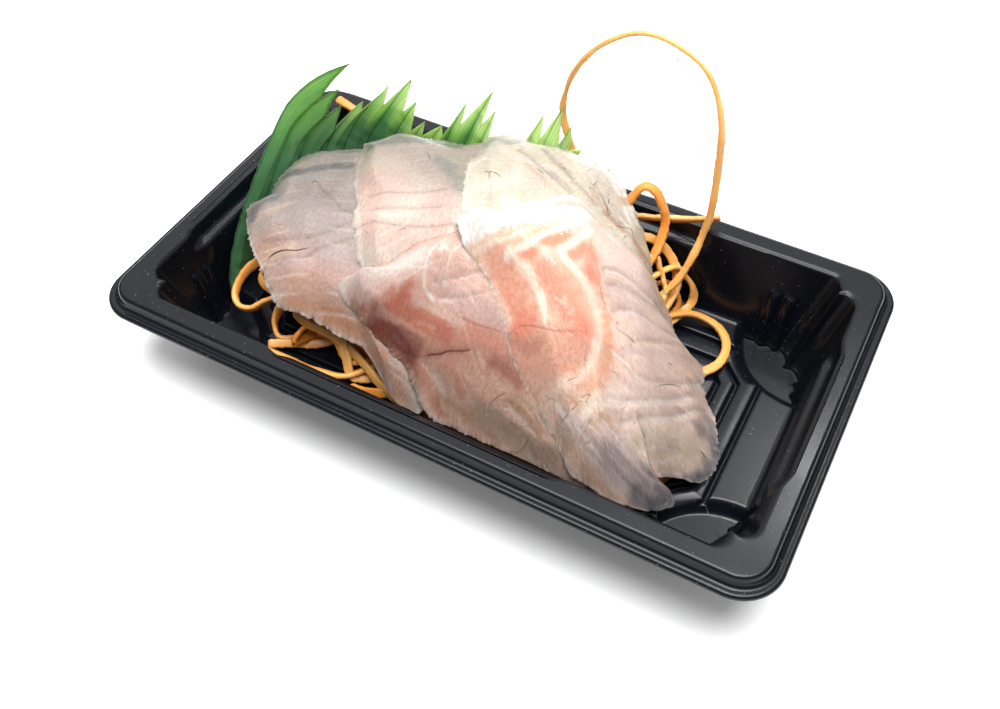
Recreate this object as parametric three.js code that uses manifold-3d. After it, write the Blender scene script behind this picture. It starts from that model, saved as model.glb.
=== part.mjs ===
// Sea bass sashimi in its takeaway tray: a vacuum-formed tray with a rolled rim, corner feet and
// pressed grooves, a heap of carrot shreds, five overlapping slices of fish and a strip of plastic grass.
// Millimetres, +Z up, X along the tray. The origin is under the middle of the tray, where it stands.
import * as THREE from 'three';
import { mergeVertices } from 'three/addons/utils/BufferGeometryUtils.js';
import { ParametricGeometry } from 'three/addons/geometries/ParametricGeometry.js';
import Module from 'manifold-3d';

const wasm = await Module();
wasm.setup();

// ---- driving dimensions ----
const flangeLength = 162; // over the flat top of the rim
const flangeWidth = 91;
const trayHeight = 25;
const cornerRadius = 7;
const sheet = 0.6; // wall thickness
const floorZ = 3.6; // top of the raised floor
const wall = { lengthAtFloor: 142, widthAtFloor: 69.8, lengthAtTop: 152.2, widthAtTop: 81.6 };
const innerCorner = { radius: 8, flat: 2.2, dip: 1.3, dipWidth: 0.14 };
const panel = { shortSide: 20, longSide: 36, blend: 3, recess: 1.2, ledgeZ: 20.8, ledge: 2.3 };
const flute = { pitch: 3.8, count: 2, depth: 0.9, topZ: 16.4, shortStart: 19.3, longStart: 55.3 };
const pocket = { x: 70.5, y: 36, topRadius: 20, bottomRadius: 17.8, z: 0.6 };
const groove = { width: 1.2, depth: 1.5, rib: 0.6 };
const grooveLoops = [
  { halfLength: 52.7, halfWidth: 16.7, chamfer: 2.2 },
  { halfLength: 57, halfWidth: 21, chamfer: 4.6 },
  { halfLength: 62.2, halfWidth: 26.6, chamfer: 8 },
];
// section of the rim, from the flat flange over the edge and back under: out from its edge, down from its top
const rimSection = [[-3, 0], [-0.5, 0], [0, 0.4], [0.5, 2.1], [1.2, 2.65], [2.3, 2.35], [2.9, 2.8], [3, 3.6],
  [2.4, 3.6], [2.1, 3.05], [1, 3.25], [-0.1, 2.4], [-0.6, 0.6], [-3, 0.6]];
const flangeOverlap = 1.5; // how far the tub's flat top reaches from the flange's edge

// height of the heap under the fish: a crest along X, times a fall towards the front
const crest = [[-76, 20], [-68, 24], [-58, 27], [-48, 29.5], [-38, 31.5], [-28, 33], [-20, 35], [-9, 38.5],
  [0, 41], [7, 41.5], [15, 40.5], [21, 38], [27, 34], [33, 28.5], [39, 21], [46, 12], [54, 5], [64, 3.6]];
const frontFall = [[-40, 0.34], [-34, 0.42], [-28, 0.56], [-20, 0.76], [-10, 0.93], [4, 1], [20, 1], [40, 0.97]];
const crestLean = { slope: 0.38, from: 6, fadeIn: 24 }; // the steep right side swings right towards the front

const restGap = 0.35; // between a slice and what it lies on
const sliceEdge = 0.9; // thickness at the thin trimmed edge
const thinning = 9; // distance over which a slice thins to its edge
const drape = { outside: 6, inside: 3 }; // how far a slice over another one takes to climb on it
const slices = [
  { name: 'fish_slice_1', centre: [-42, -3], thickness: 3, sides: 28, over: [], colour: 0xcfc0bd,
    outline: [[-71.4, -4.2], [-70, -1.8], [-67.2, -0.2], [-69.6, 6.3], [-70.6, 13.2], [-68.8, 18.2],
      [-62.6, 21.4], [-56.4, 22.9], [-42, 25], [-28, 22], [-16, 12], [-8, -2], [-5, -16], [-3, -28],
      [-0.6, -35], [-5.1, -35.6], [-9.2, -34.5], [-13.8, -31.7], [-20.7, -28], [-27.8, -27.3],
      [-36.5, -26.1], [-42.3, -25.9], [-45, -26.3], [-47.9, -25.5], [-51.8, -23.1], [-55.3, -19.9],
      [-59, -17.5], [-62.7, -14.7], [-66.2, -11]] },
  { name: 'fish_slice_2', centre: [-26, 6], thickness: 3.2, sides: 26, over: [0], colour: 0xd8c9c2,
    outline: [[-50.9, 21.6], [-48.7, 24.6], [-45.9, 31.2], [-37.3, 32.4], [-27.6, 33.3], [-23, 35.4],
      [-16, 33], [-6, 24], [0, 10], [-2, -4], [-8, -16], [-16, -22], [-23, -21], [-28.3, -15.4],
      [-31.4, -12.2], [-36.1, -5.7], [-40.1, 1.3], [-44.5, 6.7], [-47.7, 11.8], [-49.8, 19]] },
  { name: 'fish_slice_3', centre: [5, 13], thickness: 3.4, sides: 28, over: [0, 1], colour: 0xd6c6bb,
    outline: [[-9.1, 0], [-11.4, 2.4], [-13.4, 7.5], [-19.1, 18.9], [-19.6, 25.1], [-21, 32],
      [-18.7, 35.2], [-13.8, 36], [-8.1, 36.2], [-1.5, 35.4], [4.1, 34], [9, 33.8], [14.2, 34.4],
      [17.7, 33.2], [21.3, 31.2], [24.8, 28.2], [28.1, 24.4], [30.8, 19.3], [32, 8], [28, -2], [19, -8],
      [7, -8], [-4, -3]] },
  { name: 'fish_slice_4', centre: [4, -22], thickness: 3.4, sides: 30, over: [0, 1, 2], colour: 0xd9b5a5,
    outline: [[-31.6, -20.3], [-31.1, -18.4], [-27.4, -17.7], [-21.9, -16.3], [-18.6, -13.7],
      [-15.7, -10.7], [-11.4, -8], [-6.8, -5.7], [0, -1.5], [12, -5], [24, -11], [34, -19], [40, -27],
      [41, -33], [37, -35.4], [24.3, -35.7], [14.5, -35.8], [6.9, -35.7], [0.9, -35.8], [-1.5, -34.8],
      [-7.8, -30.3], [-12, -28.9], [-15.7, -27.5], [-19.8, -26], [-26.3, -23.4], [-29.7, -22]] },
  { name: 'fish_slice_5', centre: [23, -7], thickness: 4, sides: 48, over: [0, 1, 2, 3], colour: 0xe6c3b2,
    outline: [[-8.4, -3.7], [-4.2, -9], [-0.6, -10.4], [4.3, -13], [7.7, -16.3], [12, -19.4], [15.2, -23],
      [18.6, -25.2], [22.7, -27.7], [26.7, -30.1], [30.3, -31.8], [33.5, -33.7], [36.6, -35.4],
      [45.6, -34.2], [54.3, -30.4], [55.8, -26.8], [51.2, -23.6], [50.8, -21.6], [55.6, -19.2],
      [59.2, -16.9], [60.9, -13.5], [61.5, -10.5], [60.9, -5.8], [58.1, -0.3], [56.6, 2.4], [52.8, 6.4],
      [50.4, 9], [49.5, 13], [47.6, 14.8], [43.3, 13.4], [40.7, 13.4], [38, 15.8], [35.4, 17.2],
      [31.2, 16.6], [27.6, 15.6], [24.8, 15.1], [21.2, 14.8], [17.5, 15], [14.7, 15.8], [12.2, 16.2],
      [9.3, 15.2], [6.3, 12.1], [3.4, 8.4], [0.4, 3.6], [-0.2, 0.6], [-4.2, -2.4]] },
];
const sliceRings = [0.3, 0.56, 0.78, 0.93, 1]; // fractions of the outline's radius
const creases = { depth: 0.5, pitch: 5.2, from: 26, to: 34 }; // flaky ribs down the steep side of the top slice

const core = { centre: [-2, -3], sides: 34, shoulder: 7, underSlice: 0.35,
  outline: [[-60, -5], [-62, 6], [-56, 17], [-40, 21], [-20, 27], [0, 28], [18, 27], [27, 20], [37, 8], [48, -2],
    [54, -12], [50, -23], [40, -30], [20, -32], [0, -31], [-14, -27], [-30, -21], [-44, -19], [-55, -13]] };
const shred = { radius: 1.2, loopRadius: 0.85, sides: 4, stepsPerPoint: 1.5 };
// the shreds that show, each by hand-set points along its middle
const shreds = {
  standingLoop: [[10, 27, 12], [9, 31, 17], [6.4, 37.1, 22.5], [2.8, 38.4, 30.1], [-1, 39.6, 37.4],
    [-4.5, 41, 46.1], [-3.5, 42.4, 55], [0.4, 42.8, 62.5], [5.4, 44, 67.4], [12, 45, 70.8], [19.4, 45, 70.6],
    [27, 44, 67.8], [31.4, 43, 63.4], [34.8, 41, 56], [36.4, 39, 46], [37.4, 36.5, 35], [37, 34.4, 29],
    [36.4, 31, 24], [34.5, 27, 18], [30, 22, 12]],
  leftLoop: [[-54, -11, 13], [-61, -10.6, 14.5], [-64.7, -13.7, 13], [-66.4, -17.1, 10.5], [-66.2, -20.7, 8],
    [-63.5, -22.8, 6.8], [-60, -22.4, 7.2], [-57.4, -19.8, 8.6], [-53, -15, 9.5]],
  leftShred: [[-55, -9, 11], [-62, -12.6, 11], [-61, -15.4, 10.4], [-56, -16, 9], [-50, -14, 8]],
  frontLeg: [[-47, -15, 12], [-50, -20, 12.5], [-51.4, -22.2, 9.6], [-51.2, -24.2, 7], [-48.6, -25.8, 5.3],
    [-44, -23, 5.2], [-38, -20, 6]],
  floorShred: [[-50.4, -28.6, 5.2], [-45.4, -25.6, 5.1], [-39.6, -22.8, 5.2], [-34, -18, 6]],
  wallShred: [[-49.8, -30.2, 5.3], [-41.5, -30.6, 6], [-34.3, -31, 7], [-26.6, -30, 8], [-22, -25, 8.4], [-19, -20, 8]],
  frontLoop: [[-40, -17, 6], [-43.2, -26.6, 8], [-42.4, -23.9, 10.4], [-40, -22.6, 11.4], [-36.5, -22.2, 11.4],
    [-32.9, -23, 10.4], [-29.3, -25.3, 9.2], [-26, -25.8, 9], [-22, -21, 8]],
  frontLong: [[-47, -16, 10], [-46, -21.4, 12.6], [-41, -23.4, 13], [-34, -23.6, 12.6], [-27, -24.8, 11.6],
    [-21, -27, 10.6], [-15, -29.4, 9.4], [-8, -30, 8], [0, -26, 8]],
  frontDrop: [[-28, -18, 12], [-29.6, -23.6, 13], [-27.4, -26.6, 10.4], [-24.4, -28.6, 7.2], [-18, -24, 6]],
  frontEnd: [[-24, -31, 6.4], [-19.4, -31, 7.2], [-15, -30, 8.4], [-9, -26, 8]],
  rightArc: [[12, 24, 24], [17, 30.4, 31], [20.4, 33.8, 37.6], [23.6, 34.6, 37.2], [25.8, 34.4, 34.2],
    [27.4, 34, 30], [27.8, 32, 26.4], [27.6, 28, 23], [25, 20, 18]],
  rightCross: [[12, 25, 20], [18, 34, 26], [24.1, 36.8, 26.9], [29.7, 38.8, 27.3], [34.3, 40.2, 28.1],
    [38.8, 41.7, 29.2]],
  rightBroad: [[16, 24, 20], [22.6, 31.4, 24], [27, 33.4, 22.4], [30, 33.4, 20], [32.2, 32.6, 17.6],
    [33.8, 31, 15], [34.6, 27.6, 13.6], [34, 22, 12]],
  rightOuter: [[26, 20, 18], [32, 31, 18.6], [35.6, 33, 14.6], [37.8, 33, 11.4], [38.4, 31.6, 8.6], [37.4, 28.6, 7.4],
    [34, 20, 7]],
  rightInner: [[22, 20, 22], [27.4, 28, 22.4], [29.8, 28, 19.6], [31.6, 26.8, 17], [33.2, 24.6, 14.6], [33, 17, 12]],
  floorLoop: [[28, 14, 8], [33.6, 22.4, 8.8], [36.4, 26, 8.4], [39.4, 29, 7.2], [43, 30.2, 6], [46.8, 29.6, 5.3],
    [49.8, 26.8, 5.1], [51.2, 22.8, 5.1], [51, 18.4, 5.1], [48.8, 14.6, 5.1], [44, 9, 5.4], [36, 2, 7]],
  rightLow: [[24, 18, 14], [30, 30.4, 12.6], [34, 31.6, 9.6], [35.6, 29, 6.6], [32, 18, 6]],
  gapShred: [[44, -14, 5.6], [49, -20.6, 5.2], [53, -25.4, 5.1]],
};
// a shred of its own in the back left corner, from the flange down behind the grass
const cornerShred = [[-72.3, 39.2, 27], [-67.1, 38.6, 26.2], [-60, 38.3, 24.3], [-54, 37.7, 21], [-48, 36.7, 17],
  [-43, 35.9, 13.2]];

// the plastic grass: columns from the left end, each [foot along the wall, top along the wall, top height]
const grass = { thickness: 0.4, bottomZ: 4.6, halfLength: 69.4, halfWidth: 32.8, cornerRadius: 13.6, start: -22,
  lean: 0.16, sweep: 1.7, rows: 4 };
const grassColumns = [
  [3, 56.6, 42.7], [7, 49.6, 33.9], [14, 53.9, 35.6], [20, 50, 28.5],
  [30, 54, 30.9], [38, 51.4, 23.6], [44, 58.3, 32.1], [46, 58, 29.2], [50, 64.7, 38.9], [53, 63.3, 32.8],
  [55, 71.9, 43], [58, 69.4, 32.8], [61, 73.2, 36.7], [64, 71.8, 27.7], [66, 75.8, 31.6],
  [68, 75.4, 27.6], [71, 81, 32.2], [74, 81.4, 29.4], [77, 88.4, 41.8], [80, 86.8, 34.7],
  [83, 95.5, 46.9], [86, 92.8, 36.7], [88, 96.5, 41.8], [91, 94.6, 31.7], [94, 100, 34.2],
  [97, 104.1, 33.5], [100, 109.6, 45], [102.4, 109.5, 38.3], [104.6, 114.4, 48.4], [107, 114.5, 38.3],
  [109, 117.3, 44.6], [111, 117.7, 37.7], [113, 120.8, 39],
];

// ---- helpers ----
const smooth = (a, b, x) => THREE.MathUtils.smoothstep(x, a, b);

// height through a list of [place, height], with a smooth slope at each
function profile(list, x) {
  const at = THREE.MathUtils.clamp(x, list[0][0], list.at(-1)[0]);
  const i = Math.min(Math.max(list.findIndex((p) => p[0] >= at) - 1, 0), list.length - 2);
  const slope = (k) => {
    const a = list[Math.max(k - 1, 0)];
    const b = list[Math.min(k + 1, list.length - 1)];
    return (b[1] - a[1]) / (b[0] - a[0]);
  };
  const width = list[i + 1][0] - list[i][0];
  const t = (at - list[i][0]) / width;
  const s = t * t * (3 - 2 * t);
  const rise = t * (1 - t) * width * ((1 - t) * slope(i) - t * slope(i + 1));
  return list[i][1] * (1 - s) + list[i + 1][1] * s + rise;
}

// a closed body from rings of equal length, the first and last ring being a single point each
function loft(rings) {
  const around = rings[0].length;
  const last = rings.length - 1;
  const point = (u, v, target) => target.copy(rings[Math.round(v * last)][Math.round(u * around) % around]);
  return new ParametricGeometry(point, around, last);
}

const repeated = (point, times) => Array.from({ length: times }, () => point);

// a manifold solid from a closed geometry
function solid(geometry, tolerance = 1e-4) {
  geometry.deleteAttribute('normal');
  geometry.deleteAttribute('uv');
  const merged = mergeVertices(geometry, tolerance);
  const index = merged.index.array;
  const kept = [];
  for (let i = 0; i < index.length; i += 3) {
    const [a, b, c] = [index[i], index[i + 1], index[i + 2]];
    if (a !== b && b !== c && c !== a) kept.push(a, b, c);
  }
  return new wasm.Manifold(new wasm.Mesh({
    numProp: 3,
    vertProperties: merged.attributes.position.array,
    triVerts: new Uint32Array(kept),
  }));
}

function geometryOf(body) {
  const mesh = body.getMesh();
  const geometry = new THREE.BufferGeometry();
  geometry.setAttribute('position', new THREE.BufferAttribute(mesh.vertProperties, 3));
  geometry.setIndex(new THREE.BufferAttribute(mesh.triVerts, 1));
  return geometry;
}

// points closer than a micrometre become one, and scraps that a cut left behind go
function cleaned(body) {
  const bodies = solid(geometryOf(body), 1e-3).decompose();
  return bodies.reduce((a, b) => (a.volume() > b.volume() ? a : b));
}

function named(name, body, look) {
  const geometry = geometryOf(body);
  geometry.computeVertexNormals();
  const result = new THREE.Mesh(geometry, new THREE.MeshStandardMaterial(look));
  result.name = name;
  return result;
}

// ---- tray ----

// stations round a quarter of the tray: places along the short side, the corner, the long side
function quarterStations() {
  const steps = 2;
  const fluteStops = (start) => Array.from({ length: flute.count * steps + 1 },
    (_, i) => start + (i * flute.pitch) / steps);
  const short = [0, panel.shortSide - panel.blend, ...fluteStops(flute.shortStart)];
  const angles = [0.2, 0.5, 0.68, Math.PI / 4, 0.89, 1.07, 1.37];
  const long = [...fluteStops(flute.longStart).reverse(), panel.longSide + panel.blend, panel.longSide - panel.blend];
  return [
    ...short.map((along) => ({ side: 'short', along })),
    ...angles.map((angle) => ({ side: 'corner', angle })),
    ...long.map((along) => ({ side: 'long', along })),
  ];
}
const stations = quarterStations();

// one full turn: the quarter, and its mirror images in both axes
function wholeTurn(quarter) {
  const back = quarter.map((p) => p.clone());
  const backLeft = quarter.slice(1).reverse().map((p) => new THREE.Vector3(-p.x, p.y, p.z));
  const middleBack = new THREE.Vector3(0, quarter.at(-1).y, quarter.at(-1).z);
  const half = [...back, middleBack, ...backLeft];
  const left = new THREE.Vector3(-quarter[0].x, 0, quarter[0].z);
  const front = half.slice(1).reverse().map((p) => new THREE.Vector3(p.x, -p.y, p.z));
  return [...half, left, ...front];
}

// the flange's own rounded rectangle, moved out by grow, at height z
function flangeRing(grow, z, places) {
  const halfX = flangeLength / 2 + grow;
  const halfY = flangeWidth / 2 + grow;
  const radius = cornerRadius + grow;
  return wholeTurn(places.map((s) => {
    if (s.side === 'short') return new THREE.Vector3(halfX, Math.min(s.along, halfY - radius), z);
    if (s.side === 'long') return new THREE.Vector3(Math.min(s.along, halfX - radius), halfY, z);
    return new THREE.Vector3(halfX - radius * (1 - Math.cos(s.angle)), halfY - radius * (1 - Math.sin(s.angle)), z);
  }));
}

// the rim on its own, a closed band round the tray
function trayRim() {
  const arc = Array.from({ length: 8 }, (_, i) => ({ side: 'corner', angle: (i / 7) * (Math.PI / 2) }));
  const places = [{ side: 'short', along: 0 }, ...arc];
  const rings = rimSection.map(([out, down]) => flangeRing(out, trayHeight - down, places));
  const around = rings[0].length;
  const point = (u, v, target) =>
    target.copy(rings[Math.round((1 - v) * rings.length) % rings.length][Math.round(u * around) % around]);
  return solid(new ParametricGeometry(point, around, rings.length));
}

// how far the wall stands out at a place along a side, at height z
function wallRelief(along, panelHalf, fluteStart, z) {
  const onPanel = 1 - smooth(panelHalf - panel.blend, panelHalf + panel.blend, along);
  const onLedge = 1 - smooth(panel.ledgeZ - 0.3, panel.ledgeZ, z);
  const fade = smooth(floorZ - 4, panel.ledgeZ, z);
  const phase = (along - fluteStart) / flute.pitch;
  const inFlutes = phase > 0 && phase < flute.count && z < flute.topZ - 1;
  const bulge = inFlutes ? flute.depth * Math.sin(Math.PI * phase) ** 2 : 0;
  return onPanel * (panel.recess - onLedge * panel.ledge * fade) - bulge;
}

// the inside of the wall at height z, moved out by grow
function wallRing(z, grow) {
  const t = (z - floorZ) / (trayHeight - floorZ);
  const halfX = THREE.MathUtils.lerp(wall.lengthAtFloor, wall.lengthAtTop, t) / 2;
  const halfY = THREE.MathUtils.lerp(wall.widthAtFloor, wall.widthAtTop, t) / 2;
  const { radius, flat, dip, dipWidth } = innerCorner;
  return wholeTurn(stations.map((s) => {
    if (s.side === 'short') {
      const x = halfX + grow + wallRelief(s.along, panel.shortSide, flute.shortStart, z);
      return new THREE.Vector3(x, Math.min(s.along, halfY + grow - radius), z);
    }
    if (s.side === 'long') {
      const y = halfY + grow + wallRelief(s.along, panel.longSide, flute.longStart, z);
      return new THREE.Vector3(Math.min(s.along, halfX + grow - radius), y, z);
    }
    const offDiagonal = (s.angle - Math.PI / 4) / dipWidth;
    const r = radius - flat * Math.sin(2 * s.angle) ** 2 - dip * Math.exp(-offDiagonal * offDiagonal);
    return new THREE.Vector3(
      halfX + grow - radius + r * Math.cos(s.angle), halfY + grow - radius + r * Math.sin(s.angle), z);
  }));
}

// floor, walls and the flat flange as one thin sheet
function trayTub() {
  const around = wallRing(floorZ, 0).length;
  const inside = [[trayHeight, 0.8], [trayHeight - 0.8, 0], [panel.ledgeZ, 0], [panel.ledgeZ - 0.4, 0],
    [flute.topZ, 0], [flute.topZ - 1.2, 0], [floorZ, -0.5]];
  const outside = [[floorZ - sheet, -0.2], [flute.topZ - sheet, sheet], [panel.ledgeZ - 0.4 - sheet, sheet],
    [panel.ledgeZ - 0.45, sheet], [trayHeight - sheet, sheet + 0.5]];
  return solid(loft([
    repeated(new THREE.Vector3(0, 0, floorZ - sheet), around),
    ...outside.map(([z, grow]) => wallRing(z, grow)),
    flangeRing(-flangeOverlap, trayHeight - sheet, stations),
    flangeRing(-flangeOverlap, trayHeight, stations),
    ...inside.map(([z, grow]) => wallRing(z, grow)),
    repeated(new THREE.Vector3(0, 0, floorZ), around),
  ]));
}

// the bottom of the tub between two heights, kept only inside the four corner discs
function cornerWells(bottomZ, topZ, grow, extraRadius) {
  const around = wallRing(floorZ, 0).length;
  const tub = solid(loft([
    repeated(new THREE.Vector3(0, 0, bottomZ), around),
    wallRing(bottomZ, grow),
    wallRing(topZ, grow),
    repeated(new THREE.Vector3(0, 0, topZ), around),
  ]));
  const height = floorZ - pocket.z;
  const slope = (pocket.topRadius - pocket.bottomRadius) / height;
  let wells = null;
  for (const sx of [-1, 1]) for (const sy of [-1, 1]) {
    const top = pocket.topRadius + extraRadius + slope * (topZ - floorZ);
    const bottom = pocket.bottomRadius + extraRadius + slope * (bottomZ - pocket.z);
    const disc = new THREE.CylinderGeometry(top, bottom, topZ - bottomZ, 36);
    disc.rotateX(Math.PI / 2);
    disc.translate(sx * pocket.x, sy * pocket.y, (topZ + bottomZ) / 2);
    const well = tub.intersect(solid(disc));
    wells = wells ? wells.add(well) : well;
  }
  return wells;
}

// an eight-sided loop pressed into the floor, with a band of the given width
function grooveBand(loop, width, bottomZ, topZ) {
  const outline = (grow) => {
    const x = loop.halfLength + grow;
    const y = loop.halfWidth + grow;
    const c = loop.chamfer + grow * (2 - Math.SQRT2);
    return [[x, -y + c], [x, y - c], [x - c, y], [-x + c, y], [-x, y - c], [-x, -y + c], [-x + c, -y], [x - c, -y]]
      .map(([px, py]) => new THREE.Vector2(px, py));
  };
  const shape = new THREE.Shape(outline(width / 2));
  shape.holes.push(new THREE.Path(outline(-width / 2)));
  const band = new THREE.ExtrudeGeometry(shape, { depth: topZ - bottomZ, bevelEnabled: false });
  band.translate(0, 0, bottomZ);
  return solid(band);
}

function tray() {
  let body = trayTub().add(trayRim()).add(cornerWells(0, floorZ - 0.2, 0, sheet));
  for (const loop of grooveLoops) {
    body = body.add(grooveBand(loop, groove.width + 2 * groove.rib, floorZ - groove.depth - groove.rib, floorZ - 0.2));
  }
  body = body.subtract(cornerWells(pocket.z, floorZ + 0.3, -0.8, 0));
  for (const loop of grooveLoops) {
    body = body.subtract(grooveBand(loop, groove.width, floorZ - groove.depth, floorZ + 1));
  }
  return named('tray', cleaned(body), { color: 0x17181b, roughness: 0.28, metalness: 0 });
}

// ---- fish ----

function heapHeight(x, y) {
  const lean = x > 0 ? smooth(0, crestLean.fadeIn, x) * crestLean.slope * (y - crestLean.from) : 0;
  return Math.max(profile(crest, x + lean) * profile(frontFall, y), floorZ);
}

// radius of an outline seen from its centre, from a closed curve through its points
function radiusOf({ centre, outline }) {
  const points = outline.map(([x, y]) => new THREE.Vector3(x - centre[0], y - centre[1], 0));
  const curve = new THREE.CatmullRomCurve3(points, true, 'catmullrom', 0.5);
  const dense = curve.getPoints(outline.length * 8).slice(1)
    .map((p) => ({ angle: Math.atan2(p.y, p.x), radius: Math.hypot(p.x, p.y) }))
    .sort((a, b) => a.angle - b.angle);
  const turn = 2 * Math.PI;
  const first = { ...dense[0], angle: dense[0].angle + turn };
  const last = { ...dense.at(-1), angle: dense.at(-1).angle - turn };
  const all = [last, ...dense, first];
  return (angle) => {
    const i = all.findIndex((p) => p.angle >= angle);
    const [a, b] = [all[i - 1], all[i]];
    return THREE.MathUtils.lerp(a.radius, b.radius, (angle - a.angle) / Math.max(b.angle - a.angle, 1e-9));
  };
}
for (const slice of slices) slice.radius = radiusOf(slice);

// distance in from an outline, measured towards its centre
function inset(piece, x, y) {
  const [dx, dy] = [x - piece.centre[0], y - piece.centre[1]];
  return piece.radius(Math.atan2(dy, dx)) - Math.hypot(dx, dy);
}

// what a slice adds to the height of whatever lies over it
function lift(slice, x, y) {
  return (slice.thickness + restGap) * smooth(-drape.outside, drape.inside, inset(slice, x, y));
}

function underside(slice, x, y) {
  return slice.over.reduce((z, k) => z + lift(slices[k], x, y), heapHeight(x, y) + restGap);
}

function crease(x, y) {
  const along = (y + 0.35 * (x - creases.from)) / creases.pitch;
  return creases.depth * smooth(creases.from, creases.to, x + 0.4 * y) * Math.sin(Math.PI * along) ** 2;
}

function topside(slice, x, y) {
  const d = inset(slice, x, y);
  const thickness = sliceEdge + (slice.thickness - sliceEdge) * smooth(0, thinning, d);
  const ribs = slice.name === 'fish_slice_5' ? crease(x, y) * smooth(1, 6, d) : 0;
  return underside(slice, x, y) + thickness - ribs;
}

function ringAt(piece, fraction, height) {
  const [cx, cy] = piece.centre;
  return Array.from({ length: piece.sides }, (_, i) => {
    const angle = ((i + 0.5) / piece.sides) * 2 * Math.PI - Math.PI;
    const r = piece.radius(angle) * fraction;
    const [x, y] = [cx + r * Math.cos(angle), cy + r * Math.sin(angle)];
    return new THREE.Vector3(x, y, height(x, y));
  });
}

// a slice, or its shape grown up and down by extra
function fishShape(slice, extra) {
  const bottom = (x, y) => underside(slice, x, y) - extra;
  const top = (x, y) => topside(slice, x, y) + extra;
  const [cx, cy] = slice.centre;
  return solid(loft([
    repeated(new THREE.Vector3(cx, cy, bottom(cx, cy)), slice.sides),
    ...sliceRings.map((f) => ringAt(slice, f, bottom)),
    ...[...sliceRings].reverse().map((f) => ringAt(slice, f, top)),
    repeated(new THREE.Vector3(cx, cy, top(cx, cy)), slice.sides),
  ]));
}

function fishSolid(slice) {
  const whole = fishShape(slice, 0);
  return cleaned(slice.over.reduce((body, k) => body.subtract(fishShape(slices[k], restGap - 0.05)), whole));
}

// ---- carrot ----
const carrotLook = { color: 0xd98a3a, roughness: 0.5, metalness: 0 };

function heapCore() {
  const floor = floorZ + restGap;
  const top = (x, y) => {
    const d = Math.max(inset(core, x, y), 0);
    const full = heapHeight(x, y) - core.underSlice;
    return Math.max(floor + 1, floor + (full - floor) * Math.sqrt(smooth(0, core.shoulder, d)));
  };
  const [cx, cy] = core.centre;
  const rings = [0.3, 0.6, 0.8, 0.92, 1];
  return solid(loft([
    repeated(new THREE.Vector3(cx, cy, floor), core.sides),
    ringAt(core, 1, () => floor),
    ...[...rings].reverse().map((f) => ringAt(core, f, top)),
    repeated(new THREE.Vector3(cx, cy, top(cx, cy)), core.sides),
  ]));
}

function shredShape(points, radius = shred.radius) {
  const path = new THREE.CatmullRomCurve3(points.map((p) => new THREE.Vector3(...p)));
  const section = new THREE.Shape();
  for (let i = 0; i <= shred.sides; i++) {
    const angle = (i / shred.sides) * 2 * Math.PI;
    const [x, y] = [radius * Math.cos(angle), radius * Math.sin(angle)];
    if (i === 0) section.moveTo(x, y);
    else section.lineTo(x, y);
  }
  const steps = Math.round(points.length * shred.stepsPerPoint);
  return solid(new THREE.ExtrudeGeometry(section, { steps, extrudePath: path }));
}

function carrotHeap() {
  core.radius = radiusOf(core);
  let body = heapCore();
  for (const [name, points] of Object.entries(shreds)) {
    body = body.add(shredShape(points, name === 'standingLoop' ? shred.loopRadius : shred.radius));
  }
  for (const slice of slices) body = body.subtract(fishShape(slice, restGap - 0.05));
  return named('carrot_heap', cleaned(body), carrotLook);
}

// ---- plastic grass ----

// a point on the upright band that follows the wall: s along it, z up it
function grassPlace(s, z) {
  const { halfLength, halfWidth, cornerRadius: r, start, lean, bottomZ, thickness } = grass;
  const out = lean * (z - bottomZ);
  const side = halfWidth - r - start;
  const turn = (Math.PI / 2) * r;
  if (s < side) return { x: -halfLength - out, y: start + s, z };
  if (s < side + turn) {
    const angle = Math.PI - (s - side) / r;
    return { x: -halfLength + r + (r + out) * Math.cos(angle), y: halfWidth - r + (r + out) * Math.sin(angle), z };
  }
  return { x: -halfLength + r + s - side - turn, y: halfWidth + out, z };
}

function grassStrip() {
  const faceRing = ([foot, tip, height], out) => Array.from({ length: grass.rows + 1 }, (_, j) => {
    const v = j / grass.rows;
    const s = foot + (tip - foot) * v ** grass.sweep;
    const z = grass.bottomZ + (height - grass.bottomZ) * v;
    const here = grassPlace(s, z);
    const ahead = grassPlace(s + 0.5, z);
    const along = new THREE.Vector2(ahead.x - here.x, ahead.y - here.y).normalize();
    return new THREE.Vector3(here.x - along.y * out, here.y + along.x * out, z);
  });
  const half = grass.thickness / 2;
  const rings = grassColumns.map((column) =>
    [...faceRing(column, half), ...faceRing(column, -half).reverse()]);
  const middle = (ring) => ring.reduce((sum, p) => sum.add(p), new THREE.Vector3()).divideScalar(ring.length);
  const body = loft([
    repeated(middle(rings[0]), rings[0].length),
    ...rings,
    repeated(middle(rings.at(-1)), rings[0].length),
  ]);
  return named('grass_strip', solid(body), { color: 0x3f8f3a, roughness: 0.35, metalness: 0 });
}

// ---- the whole thing ----
const sashimiTray = new THREE.Group();
sashimiTray.add(tray());
for (const slice of slices) {
  sashimiTray.add(named(slice.name, fishSolid(slice), { color: slice.colour, roughness: 0.35, metalness: 0 }));
}
sashimiTray.add(carrotHeap());
sashimiTray.add(named('carrot_shred_corner', shredShape(cornerShred), carrotLook));
sashimiTray.add(grassStrip());

export default sashimiTray;
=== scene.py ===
# Sea bass sashimi in a black takeaway tray, on carrot shreds with a strip of plastic grass.
# Shapes are worked out in millimetres in the part's own frame and put into the meshes in metres.
import math

import bpy
import numpy as np
from mathutils import Matrix, Vector


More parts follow.
